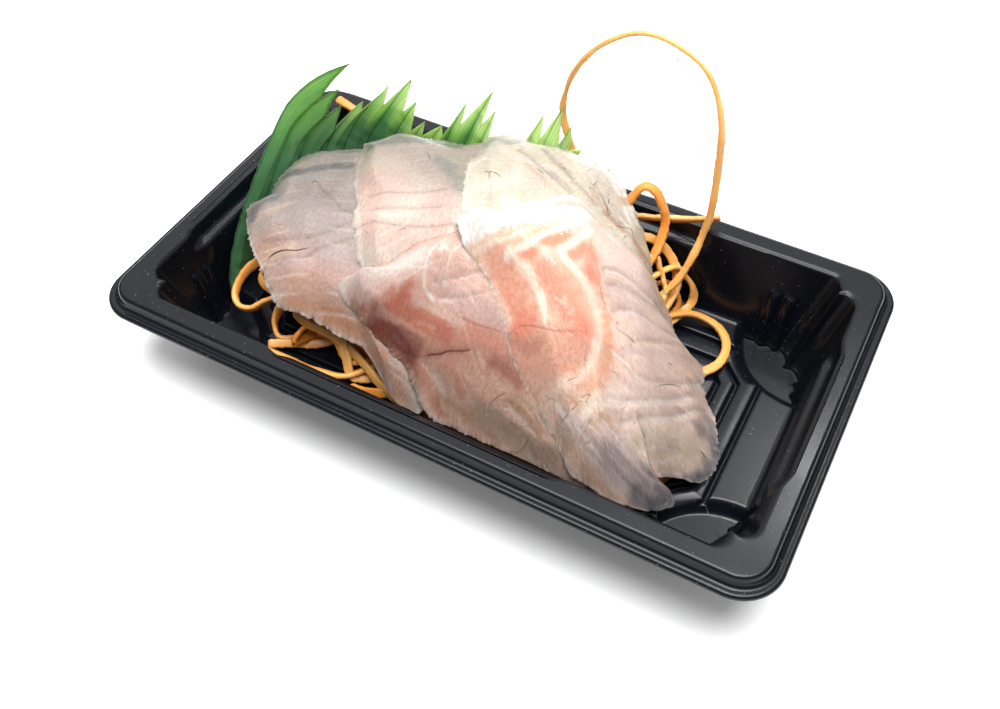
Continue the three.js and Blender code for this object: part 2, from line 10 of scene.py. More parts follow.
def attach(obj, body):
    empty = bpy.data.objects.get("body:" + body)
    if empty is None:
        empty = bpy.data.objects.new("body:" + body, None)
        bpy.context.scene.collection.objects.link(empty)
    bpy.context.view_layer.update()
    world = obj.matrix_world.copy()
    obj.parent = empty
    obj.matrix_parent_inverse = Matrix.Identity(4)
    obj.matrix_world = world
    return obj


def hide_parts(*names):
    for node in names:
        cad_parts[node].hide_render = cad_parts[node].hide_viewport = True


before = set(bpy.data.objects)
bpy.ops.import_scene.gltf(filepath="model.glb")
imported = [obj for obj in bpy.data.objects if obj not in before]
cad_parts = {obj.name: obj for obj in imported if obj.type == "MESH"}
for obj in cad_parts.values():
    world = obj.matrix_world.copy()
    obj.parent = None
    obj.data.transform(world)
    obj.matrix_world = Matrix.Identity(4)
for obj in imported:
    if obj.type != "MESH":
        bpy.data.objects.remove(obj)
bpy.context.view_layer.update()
mm = 0.001
print("frame loaded")


# shared shape helpers
def smooth(a, b, x):  # 0 before a, 1 after b, an S-curve between
    t = np.clip((x - a) / (b - a), 0, 1)
    return t * t * (3 - 2 * t)


def profile(knots, x):  # a cubic through (place, height) knots, as steep at each as the line between its neighbours
    k = np.array(knots, float)
    px, pz = k[:, 0], k[:, 1]
    lo = np.maximum(np.arange(len(px)) - 1, 0)
    hi = np.minimum(np.arange(len(px)) + 1, len(px) - 1)
    slope = (pz[hi] - pz[lo]) / (px[hi] - px[lo])
    at = np.clip(x, px[0], px[-1])
    i = np.clip(np.searchsorted(px, at, side="left") - 1, 0, len(px) - 2)
    width = px[i + 1] - px[i]
    t = (at - px[i]) / width
    s = t * t * (3 - 2 * t)
    rise = t * (1 - t) * width * ((1 - t) * slope[i] - t * slope[i + 1])
    return pz[i] * (1 - s) + pz[i + 1] * s + rise


def curveThrough(points, steps, closed=False):  # Catmull-Rom curve: four neighbouring points weighted by cubics of t
    p = np.array(points, float)
    n = len(p)
    if closed:
        ext = np.vstack([p[-1:], p, p[:2]])
        spans = n
    else:
        ext = np.vstack([2 * p[:1] - p[1:2], p, 2 * p[-1:] - p[-2:-1]])
        spans = n - 1
    t = np.arange(steps)[:, None] / steps
    a = -0.5 * t + t**2 - 0.5 * t**3
    b = 1 - 2.5 * t**2 + 1.5 * t**3
    c = 0.5 * t + 2 * t**2 - 1.5 * t**3
    d = -0.5 * t**2 + 0.5 * t**3
    parts = [a * ext[i] + b * ext[i + 1] + c * ext[i + 2] + d * ext[i + 3] for i in range(spans)]
    if not closed:
        parts.append(p[-1:])
    return np.vstack(parts)


def wobble(seed, waves, sizes, *coords):  # a sum of sine waves with seeded directions and phases, about -1 to 1
    draw = np.random.default_rng(seed)
    total = 0
    for i in range(waves):
        direction = draw.normal(size=len(coords))
        direction /= np.linalg.norm(direction)
        length = draw.uniform(*sizes)
        phase = draw.uniform(0, 2 * np.pi)
        total = total + np.sin(sum(d * c for d, c in zip(direction, coords)) * 2 * np.pi / length + phase)
    return total / math.sqrt(waves)


# the heap's height and the slices lying on it
heap = {
    "floorZ": 3.6,  # top of the tray's floor
    "crest": [[-76, 20], [-68, 24], [-58, 27], [-48, 29.5], [-38, 31.5], [-28, 33], [-20, 35], [-9, 38.5],
              [0, 41], [7, 41.5], [15, 40.5], [21, 38], [27, 34], [33, 28.5], [39, 21], [46, 12], [54, 5], [64, 3.6]],
    "frontFall": [[-40, 0.34], [-34, 0.42], [-28, 0.56], [-20, 0.76], [-10, 0.93], [4, 1], [20, 1], [40, 0.97]],
    "leanSlope": 0.38, "leanFrom": 6, "leanFadeIn": 24,
    "coreCentre": (-2, -3), "shoulder": 7, "underSlice": 0.35, "coreRim": 1,
    "coreOutline": [[-60, -5], [-62, 6], [-56, 17], [-40, 21], [-20, 27], [0, 28], [18, 27], [27, 20], [37, 8],
                    [48, -2], [54, -12], [50, -23], [40, -30], [20, -32], [0, -31], [-14, -27], [-30, -21],
                    [-44, -19], [-55, -13]],
}
lie = {"restGap": 0.35, "outside": 6, "inside": 3}  # gap under a slice, how far out and in from a lower edge it climbs
slices = [
    {"node": "fish_slice_1", "centre": (-42, -3), "thickness": 3, "over": [],
     "outline": [[-71.4, -4.2], [-70, -1.8], [-67.2, -0.2], [-69.6, 6.3], [-70.6, 13.2], [-68.8, 18.2],
                 [-62.6, 21.4], [-56.4, 22.9], [-42, 25], [-28, 22], [-16, 12], [-8, -2], [-5, -16], [-3, -28],
                 [-0.6, -35], [-5.1, -35.6], [-9.2, -34.5], [-13.8, -31.7], [-20.7, -28], [-27.8, -27.3],
                 [-36.5, -26.1], [-42.3, -25.9], [-45, -26.3], [-47.9, -25.5], [-51.8, -23.1], [-55.3, -19.9],
                 [-59, -17.5], [-62.7, -14.7], [-66.2, -11]]},
    {"node": "fish_slice_2", "centre": (-26, 6), "thickness": 3.2, "over": [0],
     "outline": [[-50.9, 21.6], [-48.7, 24.6], [-45.9, 31.2], [-37.3, 32.4], [-27.6, 33.3], [-23, 35.4],
                 [-16, 33], [-6, 24], [0, 10], [-2, -4], [-8, -16], [-16, -22], [-23, -21], [-28.3, -15.4],
                 [-31.4, -12.2], [-36.1, -5.7], [-40.1, 1.3], [-44.5, 6.7], [-47.7, 11.8], [-49.8, 19]]},
    {"node": "fish_slice_3", "centre": (5, 13), "thickness": 3.4, "over": [0, 1],
     "outline": [[-9.1, 0], [-11.4, 2.4], [-13.4, 7.5], [-19.1, 18.9], [-19.6, 25.1], [-21, 32],
                 [-18.7, 35.2], [-13.8, 36], [-8.1, 36.2], [-1.5, 35.4], [4.1, 34], [9, 33.8], [14.2, 34.4],
                 [17.7, 33.2], [21.3, 31.2], [24.8, 28.2], [28.1, 24.4], [30.8, 19.3], [32, 8], [28, -2], [19, -8],
                 [7, -8], [-4, -3]]},
    {"node": "fish_slice_4", "centre": (4, -22), "thickness": 3.4, "over": [0, 1, 2],
     "outline": [[-31.6, -20.3], [-31.1, -18.4], [-27.4, -17.7], [-21.9, -16.3], [-18.6, -13.7],
                 [-15.7, -10.7], [-11.4, -8], [-6.8, -5.7], [0, -1.5], [12, -5], [24, -11], [34, -19], [40, -27],
                 [41, -33], [37, -35.4], [24.3, -35.7], [14.5, -35.8], [6.9, -35.7], [0.9, -35.8], [-1.5, -34.8],
                 [-7.8, -30.3], [-12, -28.9], [-15.7, -27.5], [-19.8, -26], [-26.3, -23.4], [-29.7, -22]]},
    {"node": "fish_slice_5", "centre": (23, -7), "thickness": 4, "over": [0, 1, 2, 3],
     "outline": [[-8.4, -3.7], [-4.2, -9], [-0.6, -10.4], [4.3, -13], [7.7, -16.3], [12, -19.4], [15.2, -23],
                 [18.6, -25.2], [22.7, -27.7], [26.7, -30.1], [30.3, -31.8], [33.5, -33.7], [36.6, -35.4],
                 [45.6, -34.2], [54.3, -30.4], [55.8, -26.8], [51.2, -23.6], [50.8, -21.6], [55.6, -19.2],
                 [59.2, -16.9], [60.9, -13.5], [61.5, -10.5], [60.9, -5.8], [58.1, -0.3], [56.6, 2.4], [52.8, 6.4],
                 [50.4, 9], [49.5, 13], [47.6, 14.8], [43.3, 13.4], [40.7, 13.4], [38, 15.8], [35.4, 17.2],
                 [31.2, 16.6], [27.6, 15.6], [24.8, 15.1], [21.2, 14.8], [17.5, 15], [14.7, 15.8], [12.2, 16.2],
                 [9.3, 15.2], [6.3, 12.1], [3.4, 8.4], [0.4, 3.6], [-0.2, 0.6], [-4.2, -2.4]]},
]


def heapHeight(x, y):  # the crest's height at x, leaning right towards the front, times the fall towards the front
    lean = np.where(x > 0, smooth(0, heap["leanFadeIn"], x) * heap["leanSlope"] * (y - heap["leanFrom"]), 0)
    return np.maximum(profile(heap["crest"], x + lean) * profile(heap["frontFall"], y), heap["floorZ"])


def radiusTable(centre, outline):  # the outline seen from its centre: radius against angle
    curve = curveThrough(outline, steps=24, closed=True) - np.array(centre, float)
    angle = np.arctan2(curve[:, 1], curve[:, 0])
    order = np.argsort(angle)
    angle, radius = angle[order], np.hypot(curve[order, 0], curve[order, 1])
    turn = 2 * np.pi
    return np.concatenate([[angle[-1] - turn], angle, [angle[0] + turn]]), np.concatenate(
        [[radius[-1]], radius, [radius[0]]])


def inset(table, centre, x, y):  # distance in from an outline, measured towards its centre
    dx, dy = x - centre[0], y - centre[1]
    return np.interp(np.arctan2(dy, dx), *table) - np.hypot(dx, dy)


for piece in slices:
    piece["table"] = radiusTable(piece["centre"], piece["outline"])
heap["table"] = radiusTable(heap["coreCentre"], heap["coreOutline"])


def underside(piece, x, y):  # the heap plus what each lower slice lifts: an S-curve across its edge
    z = heapHeight(x, y) + lie["restGap"]
    for k in piece["over"]:
        low = slices[k]
        d = inset(low["table"], low["centre"], x, y)
        z = z + (low["thickness"] + lie["restGap"]) * smooth(-lie["outside"], lie["inside"], d)
    return z


def coreTop(x, y):  # just under the slices, falling to a low rim at its outline
    floor = heap["floorZ"] + lie["restGap"]
    d = np.maximum(inset(heap["table"], heap["coreCentre"], x, y), 0)
    full = heapHeight(x, y) - heap["underSlice"]
    return np.maximum(floor + heap["coreRim"], floor + (full - floor) * np.sqrt(smooth(0, heap["shoulder"], d)))


# meshes
# Rings of points one after another, joined by quads, each end closed by triangles to one point
def rowsToMesh(rows, startPole=None, endPole=None):
    count, around = rows.shape[:2]
    points = rows.reshape(-1, 3)
    k, i = np.meshgrid(np.arange(count - 1), np.arange(around), indexing="ij")
    j = (i + 1) % around
    quads = np.stack([k * around + i, (k + 1) * around + i, (k + 1) * around + j, k * around + j], -1).reshape(-1, 4)
    tris = []
    i = np.arange(around)
    j = (i + 1) % around
    if startPole is not None:
        points = np.vstack([points, startPole])
        tris.append(np.stack([np.full(around, len(points) - 1), i, j], -1))
    if endPole is not None:
        points = np.vstack([points, endPole])
        last = (count - 1) * around
        tris.append(np.stack([np.full(around, len(points) - 1), last + j, last + i], -1))
    tris = np.vstack(tris) if tris else np.zeros((0, 3), int)
    return points, quads, tris


def joinMeshes(parts):  # several shapes as one
    points, quads, tris, offset = [], [], [], 0
    for p, q, t in parts:
        points.append(p)
        quads.append(q + offset)
        tris.append(t + offset)
        offset += len(p)
    return np.vstack(points), np.vstack(quads), np.vstack(tris)


# A shape in millimetres as a mesh in metres, with its colours and flat places, riding on the part
def meshPiece(name, shape, material, nodes=(), colours=None, uv=None):
    points, quads, tris = shape
    mesh = bpy.data.meshes.new(name)
    mesh.vertices.add(len(points))
    mesh.vertices.foreach_set("co", (points * mm).astype(np.float32).ravel())
    corners = np.concatenate([quads.ravel(), tris.ravel()]).astype(np.int32)
    sizes = np.concatenate([np.full(len(quads), 4), np.full(len(tris), 3)]).astype(np.int32)
    mesh.loops.add(len(corners))
    mesh.loops.foreach_set("vertex_index", corners)
    mesh.polygons.add(len(sizes))
    mesh.polygons.foreach_set("loop_start", np.concatenate([[0], np.cumsum(sizes)[:-1]]).astype(np.int32))
    mesh.polygons.foreach_set("loop_total", sizes)
    mesh.polygons.foreach_set("use_smooth", np.ones(len(sizes), bool))
    mesh.update(calc_edges=True)
    mesh.validate()
    if colours is not None:
        layer = mesh.attributes.new("flesh", "FLOAT_COLOR", "POINT")
        layer.data.foreach_set("color", colours.astype(np.float32).ravel())
    if uv is not None:
        layer = mesh.uv_layers.new(name="along")
        layer.data.foreach_set("uv", uv[corners].astype(np.float32).ravel())
    mesh.materials.append(material)
    obj = bpy.data.objects.new(name, mesh)
    bpy.context.scene.collection.objects.link(obj)
    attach(obj, "root")
    if nodes:
        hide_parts(*nodes)
    print(name, len(quads) * 2 + len(tris), "triangles")


# materials
def linear(r, g, b):  # from screen values 0-255 to linear light
    c = np.array([r, g, b], float) / 255
    return np.where(c <= 0.04045, c / 12.92, ((c + 0.055) / 1.055) ** 2.4)


def newMaterial(name):  # a material, its nodes, its Principled shader and the piece's coordinates
    material = bpy.data.materials.new(name)
    material.use_nodes = True
    tree = material.node_tree
    shader = tree.nodes["Principled BSDF"]
    coords = tree.nodes.new("ShaderNodeTexCoord")
    return material, tree, shader, coords


def addNode(tree, kind, values=None, **settings):
    node = tree.nodes.new(kind)
    for key, value in settings.items():
        setattr(node, key, value)
    for key, value in (values or {}).items():
        node.inputs[key].default_value = value
    return node


def unevenGroup():  # grain and broad patches, as a height and a mask
    group = bpy.data.node_groups.new("uneven surface", "ShaderNodeTree")
    face = group.interface
    face.new_socket("Vector", in_out="INPUT", socket_type="NodeSocketVector")
    for label in ("Grain Scale", "Patch Scale", "Grain Share"):
        face.new_socket(label, in_out="INPUT", socket_type="NodeSocketFloat")
    face.new_socket("Height", in_out="OUTPUT", socket_type="NodeSocketFloat")
    face.new_socket("Patches", in_out="OUTPUT", socket_type="NodeSocketFloat")
    start = group.nodes.new("NodeGroupInput")
    end = group.nodes.new("NodeGroupOutput")
    grain = addNode(group, "ShaderNodeTexNoise", {"Detail": 3.0, "Roughness": 0.6})
    patch = addNode(group, "ShaderNodeTexNoise", {"Detail": 4.0, "Roughness": 0.55})
    mix = addNode(group, "ShaderNodeMix")
    link = group.links.new
    link(start.outputs["Vector"], grain.inputs["Vector"])
    link(start.outputs["Vector"], patch.inputs["Vector"])
    link(start.outputs["Grain Scale"], grain.inputs["Scale"])
    link(start.outputs["Patch Scale"], patch.inputs["Scale"])
    link(start.outputs["Grain Share"], mix.inputs["Factor"])
    link(patch.outputs["Fac"], mix.inputs["A"])
    link(grain.outputs["Fac"], mix.inputs["B"])
    link(mix.outputs["Result"], end.inputs["Height"])
    link(patch.outputs["Fac"], end.inputs["Patches"])
    return group


uneven = unevenGroup()


def addUneven(tree, coords, grain, patch, share):
    node = tree.nodes.new("ShaderNodeGroup")
    node.node_tree = uneven
    node.inputs["Grain Scale"].default_value = grain
    node.inputs["Patch Scale"].default_value = patch
    node.inputs["Grain Share"].default_value = share
    tree.links.new(coords.outputs["Object"], node.inputs["Vector"])
    return node


def addBump(tree, height, shader, strength, distance):
    bump = addNode(tree, "ShaderNodeBump", {"Strength": strength, "Distance": distance})
    tree.links.new(height, bump.inputs["Height"])
    tree.links.new(bump.outputs["Normal"], shader.inputs["Normal"])


def mapRange(tree, value, low, high):  # a noise's middle values spread from low to high
    node = addNode(tree, "ShaderNodeMapRange", {"From Min": 0.3, "From Max": 0.7, "To Min": low, "To Max": high})
    tree.links.new(value, node.inputs["Value"])
    return node


def softBody(tree, shader, look, patches, height):  # roughness in patches, light that scatters inside, and bump
    rough = mapRange(tree, patches, *look["roughness"])
    tree.links.new(rough.outputs["Result"], shader.inputs["Roughness"])
    shader.inputs["Subsurface Weight"].default_value = look["scatter"]
    shader.inputs["Subsurface Radius"].default_value = look["spread"]
    shader.inputs["Subsurface Scale"].default_value = look["reach"]
    addBump(tree, height, shader, look["bump"], look["depth"])


def linesAlong(tree, look, **noise):  # a noise drawn out along the piece's own flat places
    uvs = addNode(tree, "ShaderNodeUVMap", uv_map="along")
    stretch = addNode(tree, "ShaderNodeMapping")
    stretch.inputs["Scale"].default_value = look["stretch"]
    lines = addNode(tree, "ShaderNodeTexNoise", noise)
    tree.links.new(uvs.outputs["UV"], stretch.inputs["Vector"])
    tree.links.new(stretch.outputs["Vector"], lines.inputs["Vector"])
    return lines.outputs["Fac"]


def streakedPaint(tree, shader, value, span, streak):  # the painted tint, darker and lighter with a streaky value
    paint = addNode(tree, "ShaderNodeAttribute", attribute_name="flesh")
    (fromMin, fromMax), (toMin, toMax) = span, streak
    share = addNode(tree, "ShaderNodeMapRange", {"From Min": fromMin, "From Max": fromMax, "To Min": toMin,
                                                 "To Max": toMax})
    shade = addNode(tree, "ShaderNodeVectorMath", operation="SCALE")
    tree.links.new(value, share.inputs["Value"])
    tree.links.new(paint.outputs["Color"], shade.inputs["Vector"])
    tree.links.new(share.outputs["Result"], shade.inputs["Scale"])
    tree.links.new(shade.outputs["Vector"], shader.inputs["Base Color"])
    return paint


plastic = {"colour": linear(9, 12, 18), "dust": linear(96, 100, 104), "dustScale": 1500.0, "dustShare": 0.6,
           "roughness": (0.16, 0.27), "waviness": 0.0002, "bump": 0.25, "ior": 1.32}


def blackPlastic():
    material, tree, shader, coords = newMaterial("black_formed_plastic")
    link = tree.links.new
    grain = addUneven(tree, coords, grain=700.0, patch=26.0, share=0.12)
    specks = addNode(tree, "ShaderNodeTexNoise", {"Scale": plastic["dustScale"], "Detail": 1.0})
    link(coords.outputs["Object"], specks.inputs["Vector"])
    dusty = addNode(tree, "ShaderNodeMapRange", {"From Min": 0.73, "From Max": 0.8, "To Max": plastic["dustShare"]})
    link(specks.outputs["Fac"], dusty.inputs["Value"])
    tint = addNode(tree, "ShaderNodeMix", data_type="RGBA")
    tint.inputs["A"].default_value = (*plastic["colour"], 1)
    tint.inputs["B"].default_value = (*plastic["dust"], 1)
    link(dusty.outputs["Result"], tint.inputs["Factor"])
    link(tint.outputs["Result"], shader.inputs["Base Color"])
    shader.inputs["IOR"].default_value = plastic["ior"]
    rough = mapRange(tree, grain.outputs["Patches"], *plastic["roughness"])
    link(rough.outputs["Result"], shader.inputs["Roughness"])
    addBump(tree, grain.outputs["Height"], shader, plastic["bump"], plastic["waviness"])
    return material


flesh = {"roughness": (0.26, 0.46), "fibre": 1.7, "stretch": (1.0, 0.45, 1.0), "streak": (0.84, 1.1),
         "fibreShare": 0.5, "bump": 0.6, "depth": 0.0009, "scatter": 0.6, "reach": 0.0012, "spread": (1.0, 0.6, 0.45),
         "wet": (0.1, 0.65), "wetRoughness": 0.12, "shine": 0.3}


def fishFlesh():  # long soft streaks in the tint, and a wet film in patches
    material, tree, shader, coords = newMaterial("raw_fish_flesh")
    link = tree.links.new
    grain = addUneven(tree, coords, grain=1100.0, patch=160.0, share=0.45)
    fibre = linesAlong(tree, flesh, Scale=flesh["fibre"], Detail=4.0, Roughness=0.68)
    paint = streakedPaint(tree, shader, fibre, (0.35, 0.65), flesh["streak"])
    link(paint.outputs["Alpha"], shader.inputs["Alpha"])
    wet = mapRange(tree, grain.outputs["Patches"], *flesh["wet"])
    link(wet.outputs["Result"], shader.inputs["Coat Weight"])
    shader.inputs["Coat Roughness"].default_value = flesh["wetRoughness"]
    shader.inputs["Specular IOR Level"].default_value = flesh["shine"]
    height = addNode(tree, "ShaderNodeMix")
    height.inputs["Factor"].default_value = flesh["fibreShare"]
    link(grain.outputs["Height"], height.inputs["A"])
    link(fibre, height.inputs["B"])
    softBody(tree, shader, flesh, grain.outputs["Patches"], height.outputs["Result"])
    return material


shredLook = {"deep": (0.66, 0.22, 0.02), "pale": (0.72, 0.4, 0.12), "edge": 0.3, "core": (0.5, 0.17, 0.02),
             "stretch": (4.0, 0.25, 1.0), "streak": (0.72, 1.25), "roughness": (0.32, 0.55), "scatter": 0.5,
             "reach": 0.0015, "spread": (1.0, 0.4, 0.12), "bump": 0.6, "depth": 0.0004}


def carrotFlesh():  # fine lines along each shred, and paler and deeper patches
    material, tree, shader, coords = newMaterial("carrot_shred")
    grain = addUneven(tree, coords, grain=1300.0, patch=70.0, share=0.4)
    both = addNode(tree, "ShaderNodeMath", operation="ADD")
    tree.links.new(linesAlong(tree, shredLook, Scale=3.0, Detail=3.0, Roughness=0.6), both.inputs[0])
    tree.links.new(grain.outputs["Patches"], both.inputs[1])
    streakedPaint(tree, shader, both.outputs["Value"], (0.7, 1.3), shredLook["streak"])
    softBody(tree, shader, shredLook, grain.outputs["Height"], grain.outputs["Height"])
    return material


# grass greens with painted light at the tips and painted shade at the foot, in the creases and in the notches
grassLook = {"deep": (0.06, 0.16, 0.075), "backlit": (0.4, 0.62, 0.2), "vein": 1.5, "fold": 0.45,
             "backlitFrom": 0.6, "backlitIn": 0.45, "lowerBy": 0.25, "lowerFrom": (80, 95), "leftTo": (40, 50),
             "leftLessBacklit": 0.85, "blotch": 0.08, "crease": 0.1, "valley": 0.08, "valleyShare": 0.6,
             "alpha": 0.96, "alphaDrop": 0.16,
             "roughness": (0.25, 0.4), "scatter": 0.6, "reach": 0.001, "spread": (0.6, 1.0, 0.3),
             "shine": 0.3, "bump": 0.3, "depth": 0.0003}


def greenFilm():  # thin plastic film in the painted greens
    material, tree, shader, coords = newMaterial("green_film")
    paint = addNode(tree, "ShaderNodeAttribute", attribute_name="flesh")
    grain = addUneven(tree, coords, grain=500.0, patch=60.0, share=0.3)
    tree.links.new(paint.outputs["Color"], shader.inputs["Base Color"])
    tree.links.new(paint.outputs["Alpha"], shader.inputs["Alpha"])
    shader.inputs["Specular IOR Level"].default_value = grassLook["shine"]
    softBody(tree, shader, grassLook, grain.outputs["Patches"], grain.outputs["Height"])
    return material


def thinLine(name, colour, roughness=0.4, lighter=1.6):  # from its colour to a lighter one in patches
    material, tree, shader, coords = newMaterial(name)
    grain = addUneven(tree, coords, grain=2500.0, patch=300.0, share=0.5)
    tint = addNode(tree, "ShaderNodeMix", data_type="RGBA")
    tint.inputs["A"].default_value = (*colour, 1)
    tint.inputs["B"].default_value = (*(colour * lighter), 1)
    tree.links.new(grain.outputs["Patches"], tint.inputs["Factor"])
    tree.links.new(tint.outputs["Result"], shader.inputs["Base Color"])
    shader.inputs["Roughness"].default_value = roughness
    return material


plasticMaterial = blackPlastic()
darkLineMaterial = thinLine("dark_hair_line", linear(58, 42, 34))
vesselMaterial = thinLine("fine_vessel", linear(92, 66, 56))
fishMaterial = fishFlesh()
carrotMaterial = carrotFlesh()
grassMaterial = greenFilm()
print("materials made")

# tray
tray = {
    "flangeLength": 162, "flangeWidth": 91, "height": 25, "cornerRadius": 7, "sheet": 0.6, "rimInset": 3,
    "lengthAtFloor": 142, "widthAtFloor": 69.8, "lengthAtTop": 152.2, "widthAtTop": 81.6,
    "innerRadius": 8, "innerFlat": 2.2, "innerDip": 1.3, "dipWidth": 0.14,
    "panelShort": 20, "panelLong": 36, "panelBlend": 3, "recess": 1.2,
    "ledgeZ": 20.8, "ledge": 2.3, "ledgeFall": (-0.9, 0.1), "ledgeFadeBelow": 4,
    "flutePitch": 3.8, "fluteCount": 2, "fluteDepth": 0.9, "fluteShort": 19.3, "fluteLong": 55.3,
    "fluteTop": 16.4, "fluteFall": (-1.8, -0.4), "footIn": 0.7, "footRise": 0.5, "footGap": 1.1, "footGapBelow": 0.3,
    "pocketX": 70.5, "pocketY": 36, "pocketTop": 20, "pocketBottom": 17.8, "pocketZ": 0.6, "pocketEdge": 0.25,
    "middleRings": (0.3, 0.7), "floorRings": 30, "flangeRings": (0.15, 0.5), "underLip": 0.5,
    "loopCorners": (27, 63),  # how far along the short and the long side a groove's corners are carried
    "grooves": [(52.7, 16.7, 2.2), (57, 21, 4.6), (62.2, 26.6, 8)],  # half length, half width, chamfer
    "grooveSection": [(-1.1, 0), (-0.75, -0.08), (-0.55, -0.4), (-0.4, -1.2), (-0.18, -1.5), (0.18, -1.5),
                      (0.4, -1.2), (0.55, -0.4), (0.75, -0.08), (1.1, 0)],  # out from its middle, up from the floor
    "wallHeights": ((0.15, 1.2, 4), (2.2, 11.4, 9), (12, 16.4, 9), (16.8, 17.6, 3), (18.2, 20, 4), (20.3, 21, 2)),
    "heightsBelow": (20.2, 19, 17.6, 17, 16.4, 15, 13, 12, 9, 6, 3, 1),
    "lip": ((0.06, 0.45), (0.2, 0.2), (0.45, 0.05), (0.8, 0)),  # out from the wall, down from the flange's top
    "rim": [(-3, 0), (-1.2, 0), (-0.5, 0), (0, 0.4), (0.5, 2.1), (1.2, 2.65), (2.3, 2.35), (2.9, 2.8), (3, 3.6),
            (2.4, 3.6), (2.1, 3.05), (1, 3.25), (-0.1, 2.4), (-0.6, 0.6), (-1.2, 0.6), (-3, 0.6)],  # out and down, too
}


# Places round a quarter: 0 short side, 1 corner, 2 long side, with the distance along or the angle.
# They are closest together at the flutes, the ends of the panels and the corner.
def trayStations(fine):
    short = np.concatenate([np.linspace(0, 13, 8)[:-1], np.arange(13, 29, fine)])
    angle = np.linspace(0.02, np.pi / 2 - 0.02, 44)
    long = np.concatenate([np.arange(66, 48, -fine), np.linspace(48, 41, 5)[:-1], np.arange(41, 31, -fine * 2),
                           np.linspace(31, 0, 8)[1:-1]])
    kind = np.concatenate([np.zeros(len(short)), np.ones(len(angle)), np.full(len(long), 2)])
    return kind, np.concatenate([short, angle, long])


stationKind, stationAt = trayStations(fine=0.5)


# A quarter from the middle of the short side, its mirror images and the middles of the long sides
def wholeTurn(x, y, z):
    q = np.stack([x, y, np.broadcast_to(z, x.shape)], -1)
    middle = np.array([[0, y[-1], q[-1, 2]]])
    half = np.vstack([q, middle, q[1:][::-1] * [-1, 1, 1]])
    left = q[:1] * [-1, 1, 1]
    return np.vstack([half, left, half[1:][::-1] * [1, -1, 1]])


def wallRelief(along, panelHalf, fluteStart, z):  # a recessed panel with a ledge below it, and round flutes beside it
    onPanel = 1 - smooth(panelHalf - tray["panelBlend"], panelHalf + tray["panelBlend"], along)
    onLedge = 1 - smooth(tray["ledgeZ"] + tray["ledgeFall"][0], tray["ledgeZ"] + tray["ledgeFall"][1], z)
    fade = smooth(heap["floorZ"] - tray["ledgeFadeBelow"], tray["ledgeZ"], z)
    phase = (along - fluteStart) / tray["flutePitch"]
    inside = (phase > 0) & (phase < tray["fluteCount"])
    low = 1 - smooth(tray["fluteTop"] + tray["fluteFall"][0], tray["fluteTop"] + tray["fluteFall"][1], z)
    bulge = np.where(inside, tray["fluteDepth"] * np.sin(np.pi * phase) ** 2, 0) * low
    return onPanel * (tray["recess"] - onLedge * tray["ledge"] * fade) - bulge


def wallRing(z, grow):  # straight sides with their relief, and round corners with a flat and a dip on the diagonal
    t = (z - heap["floorZ"]) / (tray["height"] - heap["floorZ"])
    halfX = (tray["lengthAtFloor"] * (1 - t) + tray["lengthAtTop"] * t) / 2 + grow
    halfY = (tray["widthAtFloor"] * (1 - t) + tray["widthAtTop"] * t) / 2 + grow
    radius = tray["innerRadius"]
    offDiagonal = (stationAt - np.pi / 4) / tray["dipWidth"]
    r = radius - tray["innerFlat"] * np.sin(2 * stationAt) ** 2 - tray["innerDip"] * np.exp(-offDiagonal**2)
    x = np.where(stationKind == 0, halfX + wallRelief(stationAt, tray["panelShort"], tray["fluteShort"], z),
                 np.where(stationKind == 1, halfX - radius + r * np.cos(stationAt),
                          np.minimum(stationAt, halfX - radius)))
    y = np.where(stationKind == 0, np.minimum(stationAt, halfY - radius),
                 np.where(stationKind == 1, halfY - radius + r * np.sin(stationAt),
                          halfY + wallRelief(stationAt, tray["panelLong"], tray["fluteLong"], z)))
    return x, y


def flangeRing(grow):  # the same stations round the flange's outline
    halfX, halfY = tray["flangeLength"] / 2 + grow, tray["flangeWidth"] / 2 + grow
    radius = tray["cornerRadius"] + grow
    x = np.where(stationKind == 0, halfX, np.where(stationKind == 1, halfX - radius * (1 - np.cos(stationAt)),
                                                   np.minimum(stationAt, halfX - radius)))
    y = np.where(stationKind == 0, np.minimum(stationAt, halfY - radius),
                 np.where(stationKind == 1, halfY - radius * (1 - np.sin(stationAt)), halfY))
    return x, y


def loopRing(halfX, halfY, chamfer):  # the same stations on an eight-sided loop
    upShort, alongLong = (np.clip(stationAt / end, 0, 1) for end in tray["loopCorners"])
    turn = np.clip(stationAt / (np.pi / 2), 0, 1)
    x = np.where(stationKind == 0, halfX,
                 np.where(stationKind == 1, halfX - chamfer * turn, (halfX - chamfer) * alongLong))
    y = np.where(stationKind == 0, (halfY - chamfer) * upShort,
                 np.where(stationKind == 1, halfY - chamfer * (1 - turn), halfY))
    return x, y


def floorHeight(x, y):  # flat, falling with rounded edges into a round pocket at each corner
    away = np.hypot(np.abs(x) - tray["pocketX"], np.abs(y) - tray["pocketY"])
    depth = heap["floorZ"] - tray["pocketZ"]
    edge = tray["pocketEdge"]
    t = np.clip((tray["pocketTop"] + edge - away) / (tray["pocketTop"] - tray["pocketBottom"] + 2 * edge), 0, 1)
    return heap["floorZ"] - depth * (0.5 * t + 0.5 * t * t * (3 - 2 * t))


